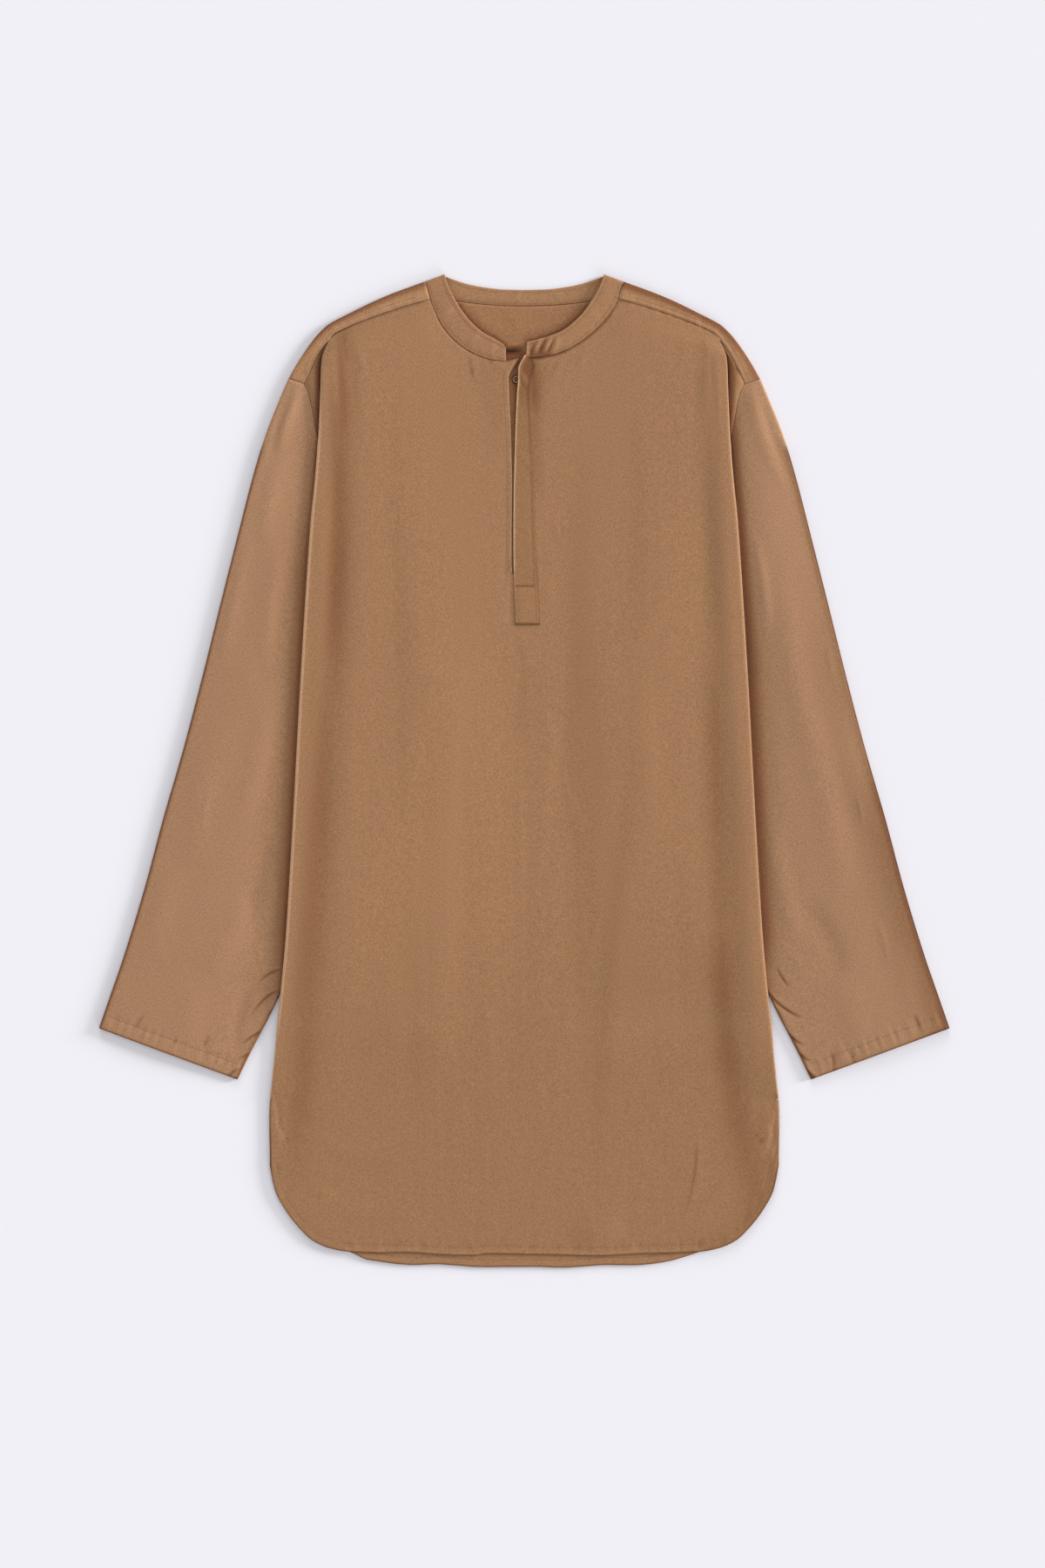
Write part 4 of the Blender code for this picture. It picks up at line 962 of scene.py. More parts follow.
def front_half(stations, side, creased):
    """Half of the front, from the neck's middle out round the side fold and down to the hem."""
    tops = neck_to_corner(stations, creased)
    shares = tops[:, 0] / tops[-1, 0]
    tip = np.array(shoulder_line(SHOULDER[CORNER:], 2))
    fine = np.linspace(0, len(tip) - 1, FOLD_COLUMNS + 1)[1:]
    top_fold = [(*(np.interp(k, range(len(tip)), tip[:, c]) for c in (0, 1)), PANEL) for k in fine]
    rows = [[(*place, PANEL) for place in tops] + top_fold]
    rows += [pleated_row(y, tops, shares, side)
             for y in spread(PLEAT[0].y, JOIN, COLUMN_STEP)[1:]]
    rows += [tucked_row(y, shares, side)
             for y in (*spread(JOIN, UNDERARM, ROW_STEP)[1:],
                       *spread(UNDERARM - 3, VENT, ROW_STEP))]
    rows += [vent_row(fall, shares, side)
             for fall in (*spread(0.03, 0.9, 0.028), *spread(0.912, 1.0, 0.0125))]
    return np.array(rows, float)


left = front_half(BAND_LEFT, 1.0, CREASED_LEFT)
right = front_half([BAND_RIGHT[0], *BAND_RIGHT], -1.0, CREASED_RIGHT)
QUARTERS = np.array([[0.25], [0.5], [0.75]])
slit_columns = []
for row, other in zip(left, right):
    y = row[0, 1]
    away = float(below(y, SLIT_END, 400))
    free_x = mix(float(read(SLIT_EDGE, "edge", y)), -7.0, away)
    free = (free_x, mix(other[0, 1], y, 0.5), other[0, 2])
    sewn = (mix(SLIT_SEWN, 7.0, away), y, row[0, 2])
    if not slit_columns:
        free = (SLIT_EDGE[-1].edge, SLIT_EDGE[-1].y, PANEL)
        sewn = (SLIT_SEWN, BAND_LEFT[0].seam_y - SEAM, PANEL)
    free, sewn = np.array(free), np.array(sewn)
    closed = mix(free, sewn, QUARTERS) if y <= SLIT_END else [NOWHERE] * len(QUARTERS)
    to_right_half = mix(free, other[0] * (-1, 1, 1), QUARTERS)[::-1]
    slit_columns.append([*to_right_half, free, *closed, sewn, *mix(sewn, row[0], QUARTERS)])
front_points = np.concatenate((right[:, ::-1] * (-1, 1, 1), np.array(slit_columns, float), left), 1)

# The panel's soft folds, the broad painted shade and light that go with them, and its
# sharp creases.
FRONT_FOLDS = [Fold(*row) for row in (
    (-172, 408, -168, 350, 1, 3, 1.2), (-166, 409, -158, 330, -1, 4, -0.5),
    (-178, 404, -176, 300, 0, 3.5, 0.8), (-160, 408, -150, 368, 1, 3, 0.7),
    (174, 406, 172, 330, -1, 3, 0.6), (166, 408, 160, 316, 1, 4.5, -0.2),
    (180, 402, 184, 320, 0, 3, 0.7), (152, 412, 146, 376, 1, 3, 0.5),
    (-48, 388, -46, 366, 1, 2.6, 0.5), (-26, 382, -14, 372, 1, 3, 0.6),
    (40, 384, 26, 366, -2, 3.5, 0.7), (58, 392, 50, 380, 1, 2.6, 0.6),
    (22, 386, 14, 340, -2, 5, -0.4), (10, 366, 12, 250, 0, 4, -0.3),
    (-176, 300, -181, 60, 3, 9, -1), (-188, 340, -206, -40, 4, 8, 0.7),
    (-182, 80, -200, -200, 3, 12, -0.9), (-196, -40, -214, -290, 3, 10, 0.6),
    (170, 320, 190, 60, -3, 9, -0.8), (186, 300, 208, -60, -4, 9, 0.7),
    (184, 60, 206, -240, -3, 13, -1), (204, -80, 222, -290, -3, 10, 0.6),
    (-118, 250, -112, -60, 4, 12, -0.5), (-96, 60, -106, -330, 3, 13, -0.4),
    (-62, 110, -74, -300, -4, 11, 0.6), (46, 320, 58, 60, -4, 12, -0.5),
    (60, 80, 56, -330, -4, 14, -0.8), (96, 200, 112, -120, 5, 13, 0.6),
    (140, 120, 156, -330, -5, 14, -0.8), (4, 120, -4, -280, 3, 12, -0.6),
    (34, 128, 24, 0, 2, 6, 0.3), (-9, 214, -17, 150, 1, 3, 0.7),
    (-15, 222, -21, 166, 1, 3, -0.5), (28, 236, 33, 214, 1, 2.6, 0.6),
    (22, 180, 27, 150, -1, 3, 0.5), (-4, 132, 2, 96, 1, 3, 0.5), (38, -10, 50, -62, 1, 3, 0.5),
    (44, -30, 46, -70, 1, 2.6, -0.35), (20, 60, 26, 10, 1, 3, 0.35),
    (-40, -210, -30, -300, 3, 3, 0.45), (46, -200, 40, -262, -2, 3, 0.4),
    (12, -268, 16, -340, 1, 3, 0.4), (-60, -300, -56, -356, 1, 3, 0.4),
    (164, -342, 158, -406, 4, 4, 0.5), (106, -352, 118, -380, 1, 2.8, 0.3),
    (128, -300, 134, -338, 1, 3, 0.4), (226, -304, 230, -350, -1, 2.6, 0.5),
    (221, -306, 224, -352, -1, 2.6, -0.3), (-227, -304, -229, -348, 1, 2.6, 0.5),
    (-222, -310, -225, -350, 1, 2.6, -0.3), (-214, -340, -120, -352, -8, 7, 0.45),
    (-208, -384, -130, -410, -10, 8, 0.5), (-190, -360, -120, -380, -6, 6, -0.4),
    (190, -380, 150, -430, 8, 8, 0.45), (-30, -400, -34, -440, 1, 4, 0.4),
    (60, -410, 66, -446, 1, 4, 0.4),
)]
SHADE_AND_LIGHT_BANDS = [Fold(*row) for row in (
    (-173, 470, -184, 100, 2, 10, -0.13), (-177, 230, -216, -400, 0, 15, -0.17),
    (-122, 370, -116, -60, 1, 6.5, -0.05), (-117, -10, -97, -340, 2, 8, -0.025),
    (-91, 130, -86, -330, 0, 5, -0.025), (-190, -230, -90, -290, 20, 30, -0.03),
    (170, 330, 180, -60, 2, 10, -0.08), (177, 110, 192, -290, -2, 13, -0.13),
    (180, -150, 221, -430, -4, 17, -0.13), (103, 350, 106, -20, 2, 9, -0.06),
    (108, 30, 68, -370, -7, 8, -0.06), (46, 260, 44, -260, 2, 12, -0.045),
    (24, 190, 23, -90, 4, 6.5, 0.06), (-25, 150, -22, -60, 2, 10, 0.03),
    (-88, -40, -84, -230, 2, 10, 0.03), (140, 290, 150, -120, 4, 12, 0.03),
    (0, 126, -1, 20, 0, 6, -0.05), (8.5, 390, 11, 250, 0, 5.5, -0.13),
    (8, 420, 9, 334, 0, 6, -0.17), (-42, 392, -18, 290, 6, 14, -0.06),
    (17, 396, 15, 326, 0, 5, -0.06), (-180, 410, -178, 340, 0, 2.8, 0.09),
    (-164, 450, -173, 60, 1, 11, -0.08), (-168, 436, -170, 310, 0, 7, -0.06),
    (173, 410, 174, 350, 0, 2.4, 0.07), (44, -425, 66, -455, 0, 12, -0.05),
    (86, -408, 90, -450, 0, 7, 0.06),
)]
FRONT_CREASES = [Fold(*row) for row in (
    (162.5, -344, 151, -418, 3.5, 1.5, 0.55), (172, -364, 169, -374, 0, 1.4, 0.3),
    (95, -324, 100, -308, 0, 1.6, 0.4), (-51, 389, -49.5, 370, 0.5, 1.3, 1.1),
    (-35, 389, -26, 377, 0.5, 1.6, 0.5), (-22, 378, -12, 366, 1, 1.5, 0.4),
    (37, 390, 22, 366, -1, 1.6, 0.5), (48, 392, 36, 372, -1, 1.5, 0.35),
    (26, 386, 17, 372, -1, 1.5, 0.45), (60, 398, 50, 384, -1, 1.5, 0.25),
    (170, 414, 169.5, 384, 0, 1.5, 0.45), (177, 390, 179.5, 356, 0, 1.5, 0.35),
    (-169, 414, -168, 386, 0, 1.5, 0.35), (-10, 214, -15, 182, 1, 1.5, 0.6),
    (-15, 202, -19, 168, 1, 1.6, 0.45), (-12, 168, -16, 146, 1, 1.5, 0.4),
    (34, 236, 38, 214, 1, 1.5, 0.35), (-237.5, -304, -230, -356, 2, 1.5, -1.1),
    (-235, -328, -223, -353, 1, 1.4, -0.9), (-227, -342, -222, -350, 0, 1.2, 0.5),
    (236, -318, 227, -364, 1, 1.5, -1), (231, -330, 238, -374, -1, 1.5, -0.7),
    (219, -341, 226, -352, 0, 1.2, 0.6), (-56, -438, -50, -452, 0, 2, 0.3),
    (-18, -436, -20, -450, 0, 2, 0.25), (90, -440, 96, -452, 0, 2.2, 0.4),
)]
x, y, z = (front_points[:, :, k] for k in range(3))
here_x, here_y = np.nan_to_num(x), np.nan_to_num(y)
is_top = np.zeros(x.shape, bool)
is_top[:, FOLD_COLUMNS:-FOLD_COLUMNS] = True
front_hem = front_points[-1, FOLD_COLUMNS:-FOLD_COLUMNS, :2]
to_hem, _ = nearest(here_x, here_y, front_hem)
to_top, _ = nearest(here_x, here_y, front_points[0, FOLD_COLUMNS:-FOLD_COLUMNS, :2])
inward = read(SIDE, "edge", np.clip(here_y, SIDE[0].y, SIDE[-1].y)) - np.abs(here_x)
relief = folded(here_x, here_y, FRONT_FOLDS)
relief *= np.maximum(past(inward, 2, 12), here_y < VENT) * past(to_hem, 0, 16)
relief *= past(to_top, 0, 5) * ease((np.abs(here_x + 4.0) - 6.0) / 8.0 + (here_y < 130.0))
relief += stitched_relief(here_x, here_y, front_hem, FRONT_HEM_ROW,
                          start=1.1, depth=0.25, pucker=0.35, reach=6)
relief *= 0.6
relief -= 0.2 * beside(to_top, 1.5)
relief += 0.15 * waver(here_x, 0.6) * beside(to_top - 3.0, 4)
relief = np.where(is_top, relief, 0.0)

# The front's painted light and shade: broad painted shades and the creases first, then
# slowly darker towards the hem, with a paler belt across each side of the lower part.
creased = folded(here_x, here_y, FRONT_CREASES)
painted_light = folded(here_x, here_y, SHADE_AND_LIGHT_BANDS) + np.clip(relief, -1.0, 1.0) * 0.045
painted_light += 0.12 * folded(here_x - 1.4, here_y, FRONT_CREASES) - 0.32 * creased
painted_light -= 0.05 * below(here_y, -80, 200)
belt = np.where(here_x > 0, 0.05, 0.035) * past(np.abs(here_x), 14, 90)
painted_light += belt * beside(here_y + 238.0, 22)

# Each side fold has a painted highlight just inside its edge, stronger on the wearer's
# right.
edge_strength = np.interp(here_y, (-270, -190, -100, 60, 130, 300), (0.9, 0.8, 0.4, 0.4, 0.9, 1))
edge_strength = np.where(here_x > 0, edge_strength, 1.0)
crest_highlight = np.where(here_x > 0, 0.16, 0.42) * beside(inward - 2.2, 1.2) * edge_strength
crest_highlight += 0.05 * (1.0 - past(inward, 6, 8))
painted_light += crest_highlight * past(here_y, -290, 60) * (here_y < 380.0)

# The hem and the side slits have painted shade at their edge, with a painted highlight
# on the roll inside it and painted puckers along the hem, and painted shade draws a thin
# dark line along the seams of band and yoke.
rim = np.minimum(to_hem, np.maximum(inward, 0.0) + 9.0 * (1.0 - below(here_y, VENT, 30)))
painted_light += 0.06 * waver(here_x * 0.8, 1.1) * beside(to_hem - 7.0, 4)
painted_light -= 0.24 * beside(rim, 1.1)
painted_light += 0.14 * beside(to_hem - 2.2, 1) * (np.abs(here_x) < 170.0)
painted_light -= 0.06 * (1.0 - past(rim, 0, 30)) * (here_x > 0) * past(here_x, 120, 60)
gathered_seam = (here_x > GATHER_START) & (here_x < GATHER_END)
painted_light -= np.where(gathered_seam, 0.34, 0.2) * beside(to_top, 0.9)

# A painted highlight runs along the opening's free edge, and painted light makes the
# cloth beside the strip paler, filling in the strip's shadow.
from_slit = read(SLIT_EDGE, "edge", np.clip(here_y, SLIT_END, SLIT_EDGE[-1].y)) - here_x
free_edge_highlight = (from_slit > -0.4) * (here_y > SLIT_END) * beside(from_slit - 0.7, 1)
painted_light += free_edge_highlight * np.interp(here_y, (200, 300, 325), (0.62, 0.52, 0.34))
strip_shadow_fill = beside(np.minimum(from_slit - 0.5, 0.0), 1) * beside(from_slit, 7)
strip_shadow_fill = strip_shadow_fill * past(here_y, 134, 6) * (1.0 - past(here_y, 330, 40))
painted_light += (0.14 + 0.12 * (here_y < SLIT_END)) * strip_shadow_fill

# Round the side folds the painted light turns from the bright line into painted shade
# underneath, and in the pleats the painted shade fades with the distance beyond the fold.
number = np.arange(x.shape[1])
outward = np.maximum(FOLD_COLUMNS - number, number - (x.shape[1] - FOLD_COLUMNS - 1))
viewer_left = number < x.shape[1] / 2
edge_light = np.where(viewer_left, np.interp(outward, (1, 2, 3, 4), (0.42, 0.46, 0.46, 0.2)),
                      np.interp(outward, (1, 2, 3, 4), (0.27, 0.32, 0.05, 0)))
roll_shade = np.where(viewer_left, np.interp(outward, (3, 4, 5), (0, 0.1, 0.5)),
                     np.interp(outward, (2, 4, 5), (0, 0.45, 0.5)))
in_pleat = np.abs(here_x) - read(PLEAT[::-1], "edge", np.clip(here_y, JOIN, 409.0))
pleat_shading = np.where(
    viewer_left,
    np.interp(in_pleat, (0, 1.5, 3, 5, 8, 12), (-0.5, -0.4, -0.26, -0.08, 0.08, 0.22)),
    np.interp(in_pleat, (0, 1.5, 3, 5, 8, 14), (-0.5, -0.4, -0.28, -0.16, -0.06, 0)))
turned_painted_light = np.where(outward > 5, pleat_shading, edge_light * edge_strength - roll_shade)
front = cloth("front_panel", np.dstack((x, y, z + relief)), crepe("front_crepe", FRONT_BROWN),
              WALL, np.where(is_top, painted_light, turned_painted_light))
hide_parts("front")

# The collar band: a stand band of two layers of crepe round the neck, open at the
# front. It lies over at the shoulders, and a row of stitches runs beside each edge.
ACROSS = np.array([0, 0.05, 0.11, 0.18, 0.27, 0.38, 0.5, 0.62, 0.72, 0.8, 0.87, 0.94, 1])
BAND_LIFT = 0.7
DOUBLE_WALL = 1.15
BAND_BROWN = (0.316, 0.163, 0.079)


def band_strip(station, z, lift=0.0, reach=1.0):
    """Points across the band at one place, from its seam to its free edge."""
    t = ACROSS * reach
    seam_x, seam_y, top_x, top_y = station
    return np.stack((mix(seam_x, top_x, t), mix(seam_y, top_y, t), z + lift * t), 1)


def band_half(front_stations, side, round_end):
    """The band's columns in front, over the shoulder fold and at the back of the neck."""
    stations = finer(front_stations, 2.2)
    first, second = (np.array(station) for station in stations[:2])
    stations[1:1] = [Band(*mix(first, second, t)) for t in (0.2, 0.4, 0.7)]
    front_columns = []
    for k, station in enumerate(stations):
        reach = 1.0 - 0.16 * max(0.0, 1.0 - k / 4.5) if round_end else 1.0
        lift = mix(BAND_LIFT, BAND_LIFT / 2, float(past(k, len(stations) - 6, 5)))
        front_columns.append(band_strip(station, PANEL, lift, reach))
    fold = BAND_FOLD
    length = math.hypot(fold.seam_x - fold.top_x, fold.seam_y - fold.top_y)
    out = np.array([fold.top_y - fold.seam_y, fold.seam_x - fold.top_x] * 2) / length
    roll = (PANEL - FLOOR) / 2
    rolled = [band_strip(fold + out * (away - roll - CLOTH / 2), z)
              for away, z in half_turn(roll)[::-1]]
    behind = [band_strip(station, FLOOR) for station in finer(BAND_BACK, 2.4)]
    return [np.array(part) * (side, 1, 1) for part in (front_columns, rolled, behind)]


band_left = band_half(BAND_LEFT, 1.0, False)
band_right = band_half(BAND_RIGHT, -1.0, True)
band_points = np.concatenate((*band_left, np.concatenate(band_right)[:-1][::-1]))
BAND_FOLDS = [Fold(*row) for row in (
    (5, 390, 12, 405, 0, 1.6, -0.9), (9, 391, 16, 407, 1, 1.7, 1.1),
    (13, 391, 21, 409, 0, 1.6, -1.2), (17, 392, 25, 408, -1, 1.7, 1.3),
    (22, 393, 29, 409, 0, 1.6, -1.1), (27, 395, 33, 408, 0, 1.9, 0.8),
    (-66, 436, -76, 428, 0, 2.4, 0.6), (-40, 412, -52, 404, 0, 2, 0.6),
    (-27, 402, -33, 392, 0, 2, 0.5), (60, 434, 72, 424, 0, 3, 0.35),
    (-2, 452, -12, 440, 1, 2.2, 0.45), (28, 453, 36, 441, 1, 2.4, 0.4),
)]
x, y, z = (band_points[:, :, k] for k in range(3))
in_front = z[:, :1] > 2.0
t = np.broadcast_to(ACROSS, x.shape)
free_line = band_points[:, -1, :2]
along = np.cumsum(np.hypot(*np.diff(free_line, axis=0, prepend=free_line[:1]).T))[:, None]
relief = folded(x, y, BAND_FOLDS) * np.sin(math.pi * np.clip(t, 0.02, 0.98)) ** 0.5
relief += 0.22 * waver(along, 0.8) * beside(t - 0.12, 0.16)
relief += 0.14 * waver(along, 2.1) * beside(t - 0.9, 0.12)
relief -= 0.22 * beside(t - 0.13, 0.05) + 0.22 * beside(t - 0.83, 0.05) + 0.15 * beside(t, 0.06)
relief = np.where(in_front, relief, np.maximum(relief, -0.05) * 0.7)

# The band has painted shade along its seam, where the placket gathers it and where it
# turns at the shoulders, and a painted highlight on the edge of each open end.
band_painted_light = 0.05 * beside(t - 1.0, 0.07) + np.clip(relief, -0.6, 0.9) * 0.16 - 0.03
band_painted_light -= 0.08 * (~in_front) * (1.0 - ease(t * 2.0))
band_painted_light -= np.where((x > GATHER_START) & (x < GATHER_END), 0.3, 0.17) * beside(t, 0.04)
gathered = in_front * past(x, 3.6, 2) * (1.0 - past(x, 22, 7)) * (x > 0)
band_painted_light -= gathered * (0.06 + 0.2 * (1.0 - ease(t)))
open_end = np.where(x > 0, mix(BAND_LEFT[0].seam_x, BAND_LEFT[0].top_x, t) + 0.8, -17.8)
band_painted_light += in_front * 0.24 * beside(x - open_end, 0.8) * (y < 405.0)
band_painted_light -= 0.26 * (~in_front) * beside(np.abs(x) - 80.0, 9)
band = cloth("collar_band_cloth", np.dstack((x, y, z + relief)), crepe("band_crepe", BAND_BROWN),
             DOUBLE_WALL, band_painted_light)
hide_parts("collar_band")

# The placket: an underlap behind the opening carries a small shirt button, and a
# strip of folded crepe, sewn to the wearer's left front, laps over it down to a box.
UNDERLAP_SIDES = (-20.5, 3.4)
UNDERLAP_ENDS = (394.0, 178.0)
UNDERLAP_BROWN = (0.300, 0.146, 0.070)
y, across = np.meshgrid(spread(*UNDERLAP_ENDS, 1.6), np.linspace(0, 1, 9), indexing="ij")
x = mix(*UNDERLAP_SIDES, across)
sag = 0.18 * waver(y * 0.5, 1.5) * np.sin(math.pi * across)
# Painted shade on the underlap: darker up high and under the strip, darkest in the band's shadow.
under_strip = past(x, -11, 3)
lap_painted_shade = (-0.04 - 0.1 * past(y, 240, 80) - 0.1 * under_strip
            - 0.2 * past(y, 378, 8) * (1.0 - 0.6 * under_strip)
            - 0.16 * past(y, 391.5, 1.5) * (1.0 - past(x, -8, 8)))
underlap = cloth("underlap_cloth", np.dstack((x, y, LAP + sag)),
                 crepe("underlap_crepe", UNDERLAP_BROWN), WALL, lap_painted_shade)
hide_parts("placket_underlap")

# The button: dark brown horn with four holes and a painted highlight on its raised
# ring, sewn on with a cross of thread. Its solid keeps its shape and gets this finish.
BUTTON_AT = (-7.5, 368.2)
BUTTON_REACH = 0.005
HORN = [(0.35, (0.030, 0.011, 0.005)), (0.70, (0.070, 0.028, 0.012))]
RING_HIGHLIGHT = (0.36, 0.20, 0.105, 1)
RING = ((0, 0), (0.34, 0), (0.52, 1), (0.7, 0), (0.86, 0), (0.93, 0.2))
horn = bpy.data.materials.new("button_horn")
horn.use_nodes = True
tree = horn.node_tree
place = node(tree, "TexCoord", {})["Object"]
swirl = node(tree, "TexNoise", {"Vector": place, "Scale": 420, "Detail": 4, "Distortion": 1.6})
shades = colour_ramp(tree, swirl["Fac"], HORN)
middle = (BUTTON_AT[0] * MM, BUTTON_AT[1] * MM, 0)
centred = node(tree, "VectorMath", {0: place, 1: middle}, operation="SUBTRACT")
flat = node(tree, "VectorMath", {0: centred["Vector"], 1: (1, 1, 0)}, operation="MULTIPLY")
out_from = node(tree, "VectorMath", {0: flat["Vector"]}, operation="LENGTH")
across_button = node(tree, "MapRange",
              {"Value": out_from["Value"], "From Min": 0, "From Max": BUTTON_REACH})
ring = colour_ramp(tree, across_button["Result"], [(at, (light,) * 3) for at, light in RING])
highlighted = node(tree, "Mix", {0: ring, 6: shades, 7: RING_HIGHLIGHT}, data_type="RGBA")
shader = tree.nodes["Principled BSDF"].inputs
tree.links.new(highlighted[2], shader["Base Color"])
shader["Roughness"].default_value = 0.45
shader["Specular IOR Level"].default_value = 0.06
button = frame["nodes"]["button"]
button.data.materials.clear()
button.data.materials.append(horn)
button.data.shade_smooth()

# The placket's strip, raised a little at its free edge and pressed flat in the box
# at its foot. Its rows of stitches lie 2.4 mm inside its edges.
Strip = namedtuple("Strip", "y free sewn lift")
STRIP = [Strip(*row) for row in (
    (137.8, -8.4, 14.8, 0), (155, -8.8, 14, 0), (173.8, -9.7, 13, 0), (219, -10.3, 10.4, 0.1),
    (266, -10, 9.2, 0.2), (279, -9.6, 8.2, 0.3), (316, -8.6, 6.4, 0.4), (356, -6.8, 4.7, 0.5),
    (368, -5.9, 5.4, 0.6), (374, -5.8, 7.4, 0.6), (379, -5.6, 9.4, 0.6), (384, -3.6, 9.2, 0.5),
    (387.3, -1.7, 6.4, 0.4), (391.2, 0.3, 2.2, 0.2),
)]
STRIP_FOLDS = [Fold(*row) for row in (
    (-6, 376, 3, 362, 1, 1.8, 0.5), (-5, 366, 4, 356, 0, 2, -0.35),
    (-6, 300, 6, 288, 0, 3, 0.25), (-8, 232, 8, 224, 0, 2.5, 0.25),
    (-4, 156, 8, 150, 0, 3, 0.2),
)]
STRIP_LAYER = 1.25
STRIP_ROW = 2.4
BOX_FOOT = 140.2
BOX_TOP = 173.6
OPEN_ABOVE = 284.0
STRIP_BROWN = (0.278, 0.142, 0.064)
STRIP_ACROSS = [0, 0.03, 0.07, 0.12, 0.17, 0.23, 0.32, 0.44, 0.56, 0.68, 0.78, 0.86, 0.93, 1]
y, across = np.meshgrid(spread(STRIP[0].y, STRIP[-1].y, 1.8), STRIP_ACROSS, indexing="ij")
free, sewn, raised = (read(STRIP, c, y) for c in ("free", "sewn", "lift"))
x = mix(free, sewn, across)
z = front_height(x, y, read(SIDE, "edge", y), EDGE_TOP) + STRIP_LAYER + raised * ease(1.0 - across)
from_free, from_sewn = x - free, sewn - x
relief = folded(x, y, STRIP_FOLDS) * np.sin(math.pi * np.clip(across, 0.02, 0.98)) ** 0.5
in_box = below(y, 174.5, 2)
groove = beside(from_sewn - STRIP_ROW, 0.9) * below(y, OPEN_ABOVE, 6)
groove += beside(from_free - STRIP_ROW, 0.9) * in_box
groove += beside(y - BOX_FOOT, 0.9) + beside(y - BOX_TOP, 0.9)
relief = relief - 0.2 * groove * past(y, STRIP[0].y, 1)
relief += 0.16 * waver(y, 0.5) * beside(from_sewn - 1.5, 2.5)
relief += 0.12 * waver(y * 0.6, 2.5) * beside(from_free, 3) * past(y, 176, 20)

# The strip's free edge has a painted highlight, its upper part painted shade, and its
# sewn edge, the top of its box and its foot are dark lines of painted shade; its crests
# and its box are painted a little lighter.
narrow = below(y, 212, 20)
painted_light = -0.04 + 0.6 * beside(from_free - 0.7, 0.9) * past(y, 160, 40)
painted_light -= 0.06 * past(y, 250, 80) + 0.08 * past(y, 334, 20) * (from_free > 2.0)
painted_light -= 0.09 * past(y, 367, 10) * past(from_free, 3, 3)
painted_light -= mix(0.2, 0.34, narrow) * beside(from_sewn, mix(1.5, 0.8, narrow))
painted_light -= 0.3 * beside(y - 173.3, 0.8) * (from_free > 1.0) * (from_sewn > 4.0)
painted_light -= 0.35 * beside(y - STRIP[0].y, 0.9)
painted_light += np.clip(relief, -0.5, 0.5) * 0.12 + in_box * 0.05
strip = cloth("placket_strip", np.dstack((x, y, z + relief)), crepe("placket_crepe", STRIP_BROWN),
              DOUBLE_WALL, painted_light)
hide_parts("placket")

# The sewing: rows of single stitches in a matching thread, each one a short tapered
# loop that lies in its groove, about ten to the inch on hems and finer on the band.
THREAD_BROWN = (0.226, 0.112, 0.056)
thread = crepe("sewing_thread", THREAD_BROWN, 0.0, 0.3)
thread.node_tree.nodes["Principled BSDF"].inputs["Roughness"].default_value = 0.6
LOOP = ((-1, 0.35), (-0.6, 0.9), (0, 1), (0.6, 0.9), (1, 0.35))
ABOVE_ALL = 0.04
Stitch = namedtuple("Stitch", "pitch length thick")
FINE = Stitch(2.1, 1.5, 0.22)
SLIT = Stitch(2.3, 1.6, 0.2)
SIDE_MARK = Stitch(2.2, 1.7, 0.2)
TOPSTITCH = Stitch(2.4, 1.7, 0.22)
HEM_STITCH = Stitch(2.6, 1.8, 0.22)
BUTTON_CROSS = Stitch(3.6, 2.6, 0.28)


def walk(line, pitch):
    """Places and directions at an even pitch along a line."""
    line = np.asarray(line, float)
    keys = np.concatenate(([0.0], np.cumsum(np.hypot(*np.diff(line, axis=0).T))))
    at = np.arange(pitch * 0.6, keys[-1] - pitch * 0.4, pitch)
    places, ahead, behind = (np.stack([np.interp(at + step, keys, line[:, c]) for c in (0, 1)], 1)
                             for step in (0.0, 0.2, -0.2))
    heading = ahead - behind
    return places, heading / np.hypot(*heading.T)[:, None]


def stitch(px, py, z, dx, dy, kind):
    """One loop's points: five rings of four, arched along the line of the row."""
    for along, share in LOOP:
        step = along * kind.length / 2
        cx, cy = px + dx * step, py + dy * step
        cz = z + kind.thick * (0.35 - 0.7 * along * along)
        radius = kind.thick * share
        for across, rise in ((1, 0), (0, 1), (-1, 0), (0, -1)):
            yield ((cx - dy * across * radius) * MM, (cy + dx * across * radius) * MM,
                   (cz + rise * radius) * MM)


def sew(name, cloths, rows, kind):
    """One mesh of stitches along the rows, each laid on the cloth under it."""
    seen = bpy.context.evaluated_depsgraph_get()
    trees = [BVHTree.FromObject(piece, seen) for piece in cloths]
    vertices, faces = [], []
    for line in rows:
        for (px, py), (dx, dy) in zip(*walk(line, kind.pitch)):
            above = Vector((px * MM, py * MM, ABOVE_ALL))
            hits = [tree.ray_cast(above, Vector((0, 0, -1)))[0] for tree in trees]
            hits = [hit.z for hit in hits if hit]
            if not hits:
                continue
            base = len(vertices)
            vertices += stitch(px, py, max(hits) / MM, dx, dy, kind)
            last = base + 4 * (len(LOOP) - 1)
            for r in range(base, last, 4):
                faces += [(r + k, r + (k + 1) % 4, r + (k + 1) % 4 + 4, r + k + 4)
                          for k in range(4)]
            faces += [(base + 3, base + 2, base + 1, base), (last, last + 1, last + 2, last + 3)]
    mesh = bpy.data.meshes.new(name)
    mesh.from_pydata(vertices, [], faces)
    piece = show(name, mesh, thread, np.full(len(vertices), PLAIN_TONE))
    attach(piece, "root")
    return piece


def above_hem(line, distance):
    """The hem's line moved up and in by a distance."""
    steps = np.gradient(np.asarray(line, float), axis=0)
    steps /= np.hypot(*steps.T)[:, None]
    upward = math.copysign(1.0, steps[len(steps) // 2, 0])
    return line + np.stack((-steps[:, 1], steps[:, 0]), 1) * distance * upward


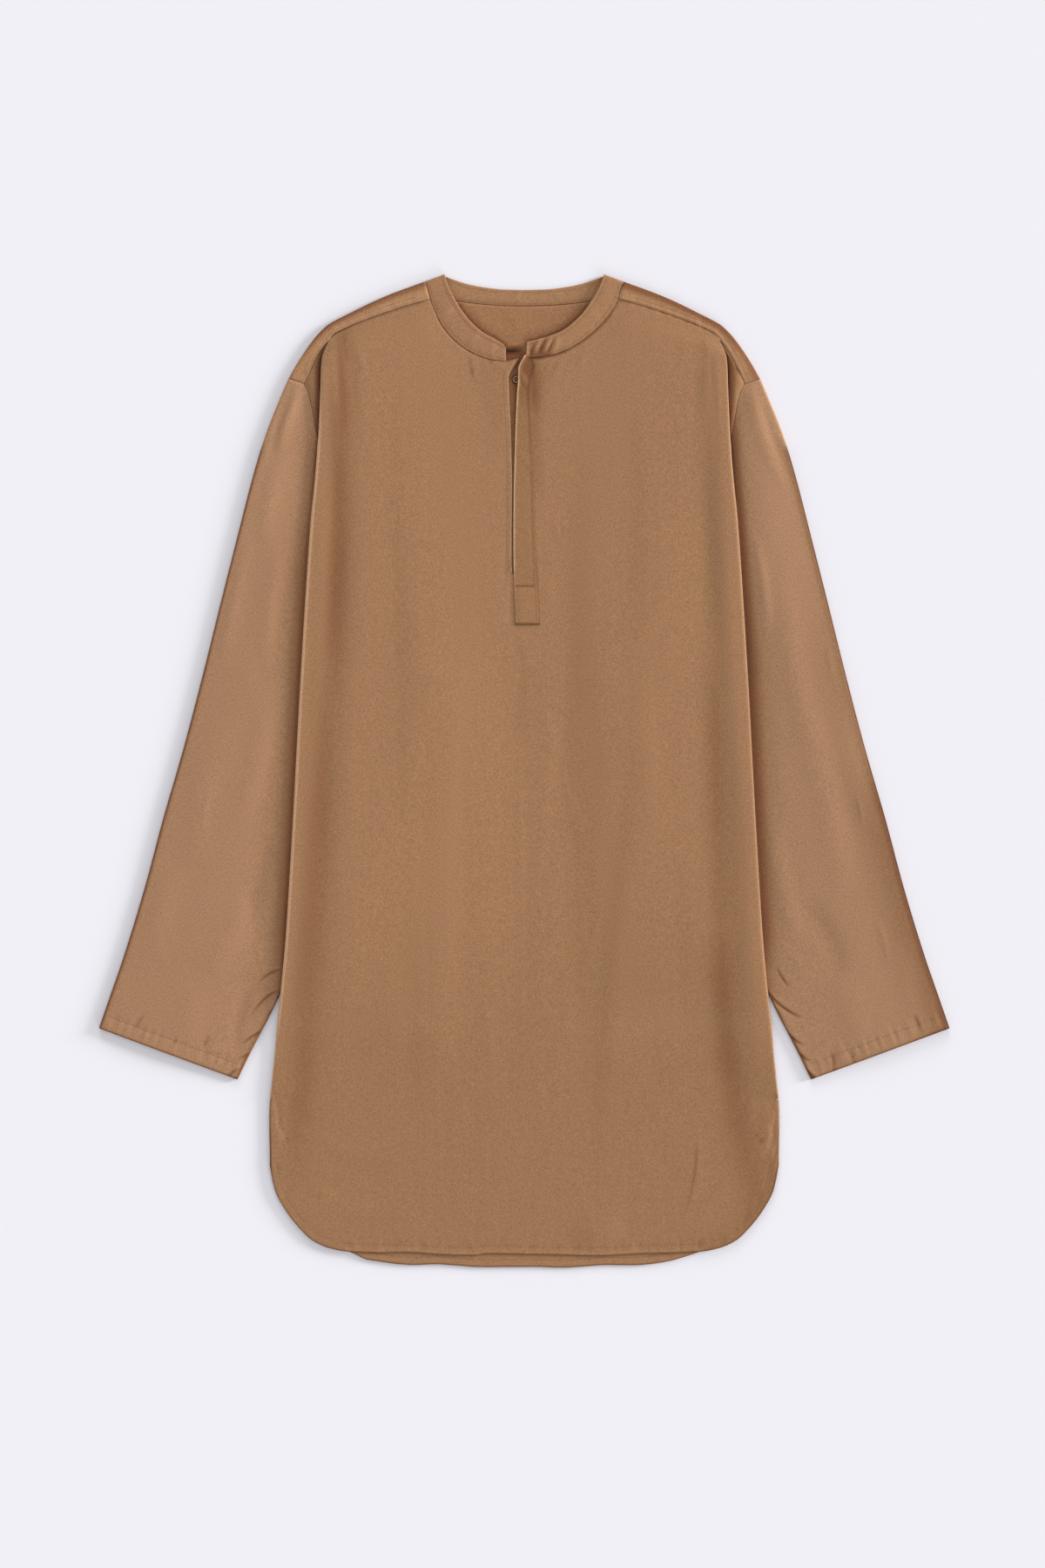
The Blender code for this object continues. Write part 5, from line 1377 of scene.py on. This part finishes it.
BAND_ROWS = (0.15, 0.83)
band_parts = [np.concatenate((part[0][1:], part[1][:1])) for part in (band_left, band_right)]
band_parts.append(np.concatenate((band_left[2], band_right[2][::-1])))
band_rows = [mix(part[:, 0, :2], part[:, -1, :2], share)
             for part in band_parts for share in BAND_ROWS]
band_sewing = sew("band_stitches", [band], band_rows, FINE)

row_y = spread(138.6, 386.0, 3.0)
free_row = np.stack((read(STRIP, "free", row_y) + STRIP_ROW, row_y), 1)
sewn_row = np.stack((read(STRIP, "sewn", row_y) - STRIP_ROW, row_y), 1)
strip_rows = [sewn_row[row_y < OPEN_ABOVE], free_row[row_y < 173.8],
              [(-6.2, BOX_FOOT), (12.2, BOX_FOOT)], [(-7.6, BOX_TOP), (11.0, BOX_TOP)],
              [(9.4, 172.0), (9.0, 190.0)]]
strip_sewing = sew("placket_stitches", [strip], strip_rows, FINE)
HOLES = 1.5
thread_rows = [[(BUTTON_AT[0] - HOLES, BUTTON_AT[1] + HOLES * k),
                (BUTTON_AT[0] + HOLES, BUTTON_AT[1] - HOLES * k)] for k in (-1, 1)]
button_thread = sew("button_thread", [button], thread_rows, BUTTON_CROSS)
SLIT_ROW = 4.6
slit_y = spread(196.0, 384.0, 4.0)
slit_row = np.stack((read(SLIT_EDGE, "edge", slit_y) - SLIT_ROW, slit_y), 1)
slit_sewing = sew("slit_stitches", [front], [slit_row], SLIT)

# Three short rows cross the side fold on the wearer's left.
mark_rows = [[(192.0, 109.0), (215.2, 109.0)], [(213.6, 144.0), (215.2, 109.0)],
             [(193.5, 144.5), (208.0, 144.5)]]
mark_sewing = sew("side_stitches", [front, sleeves["sleeve_left"]], mark_rows, SIDE_MARK)

YOKE_ROWS = (1.6, 5.2)
shoulder = np.array(finer(SHOULDER, 3.0))
fold_line, seam_line = shoulder[:, :2], shoulder[:, 2:]
toward = (fold_line - seam_line) / np.hypot(*(fold_line - seam_line).T)[:, None]
yoke_rows = [(seam_line + toward * inset) * (side, 1) for side in (1, -1) for inset in YOKE_ROWS]
yoke_sewing = sew("yoke_stitches", [yoke], yoke_rows, TOPSTITCH)

front_row = above_hem(front_hem, FRONT_HEM_ROW)
hem_sewing = sew("front_hem_stitches", [front], [front_row], HEM_STITCH)
back_row = above_hem(back_hem, BACK_HEM_ROW)
back_sewing = sew("back_hem_stitches", [back], [back_row], HEM_STITCH)

UP_THE_SLEEVE = np.array([-0.35, 0.94])
cuff_row = (cuff_line + UP_THE_SLEEVE * CUFF_ROW)[2:-1]
for name, side in (("sleeve_left", 1), ("sleeve_right", -1)):
    sewing = sew(name + "_stitches", [sleeves[name]], [cuff_row * (side, 1)], HEM_STITCH)
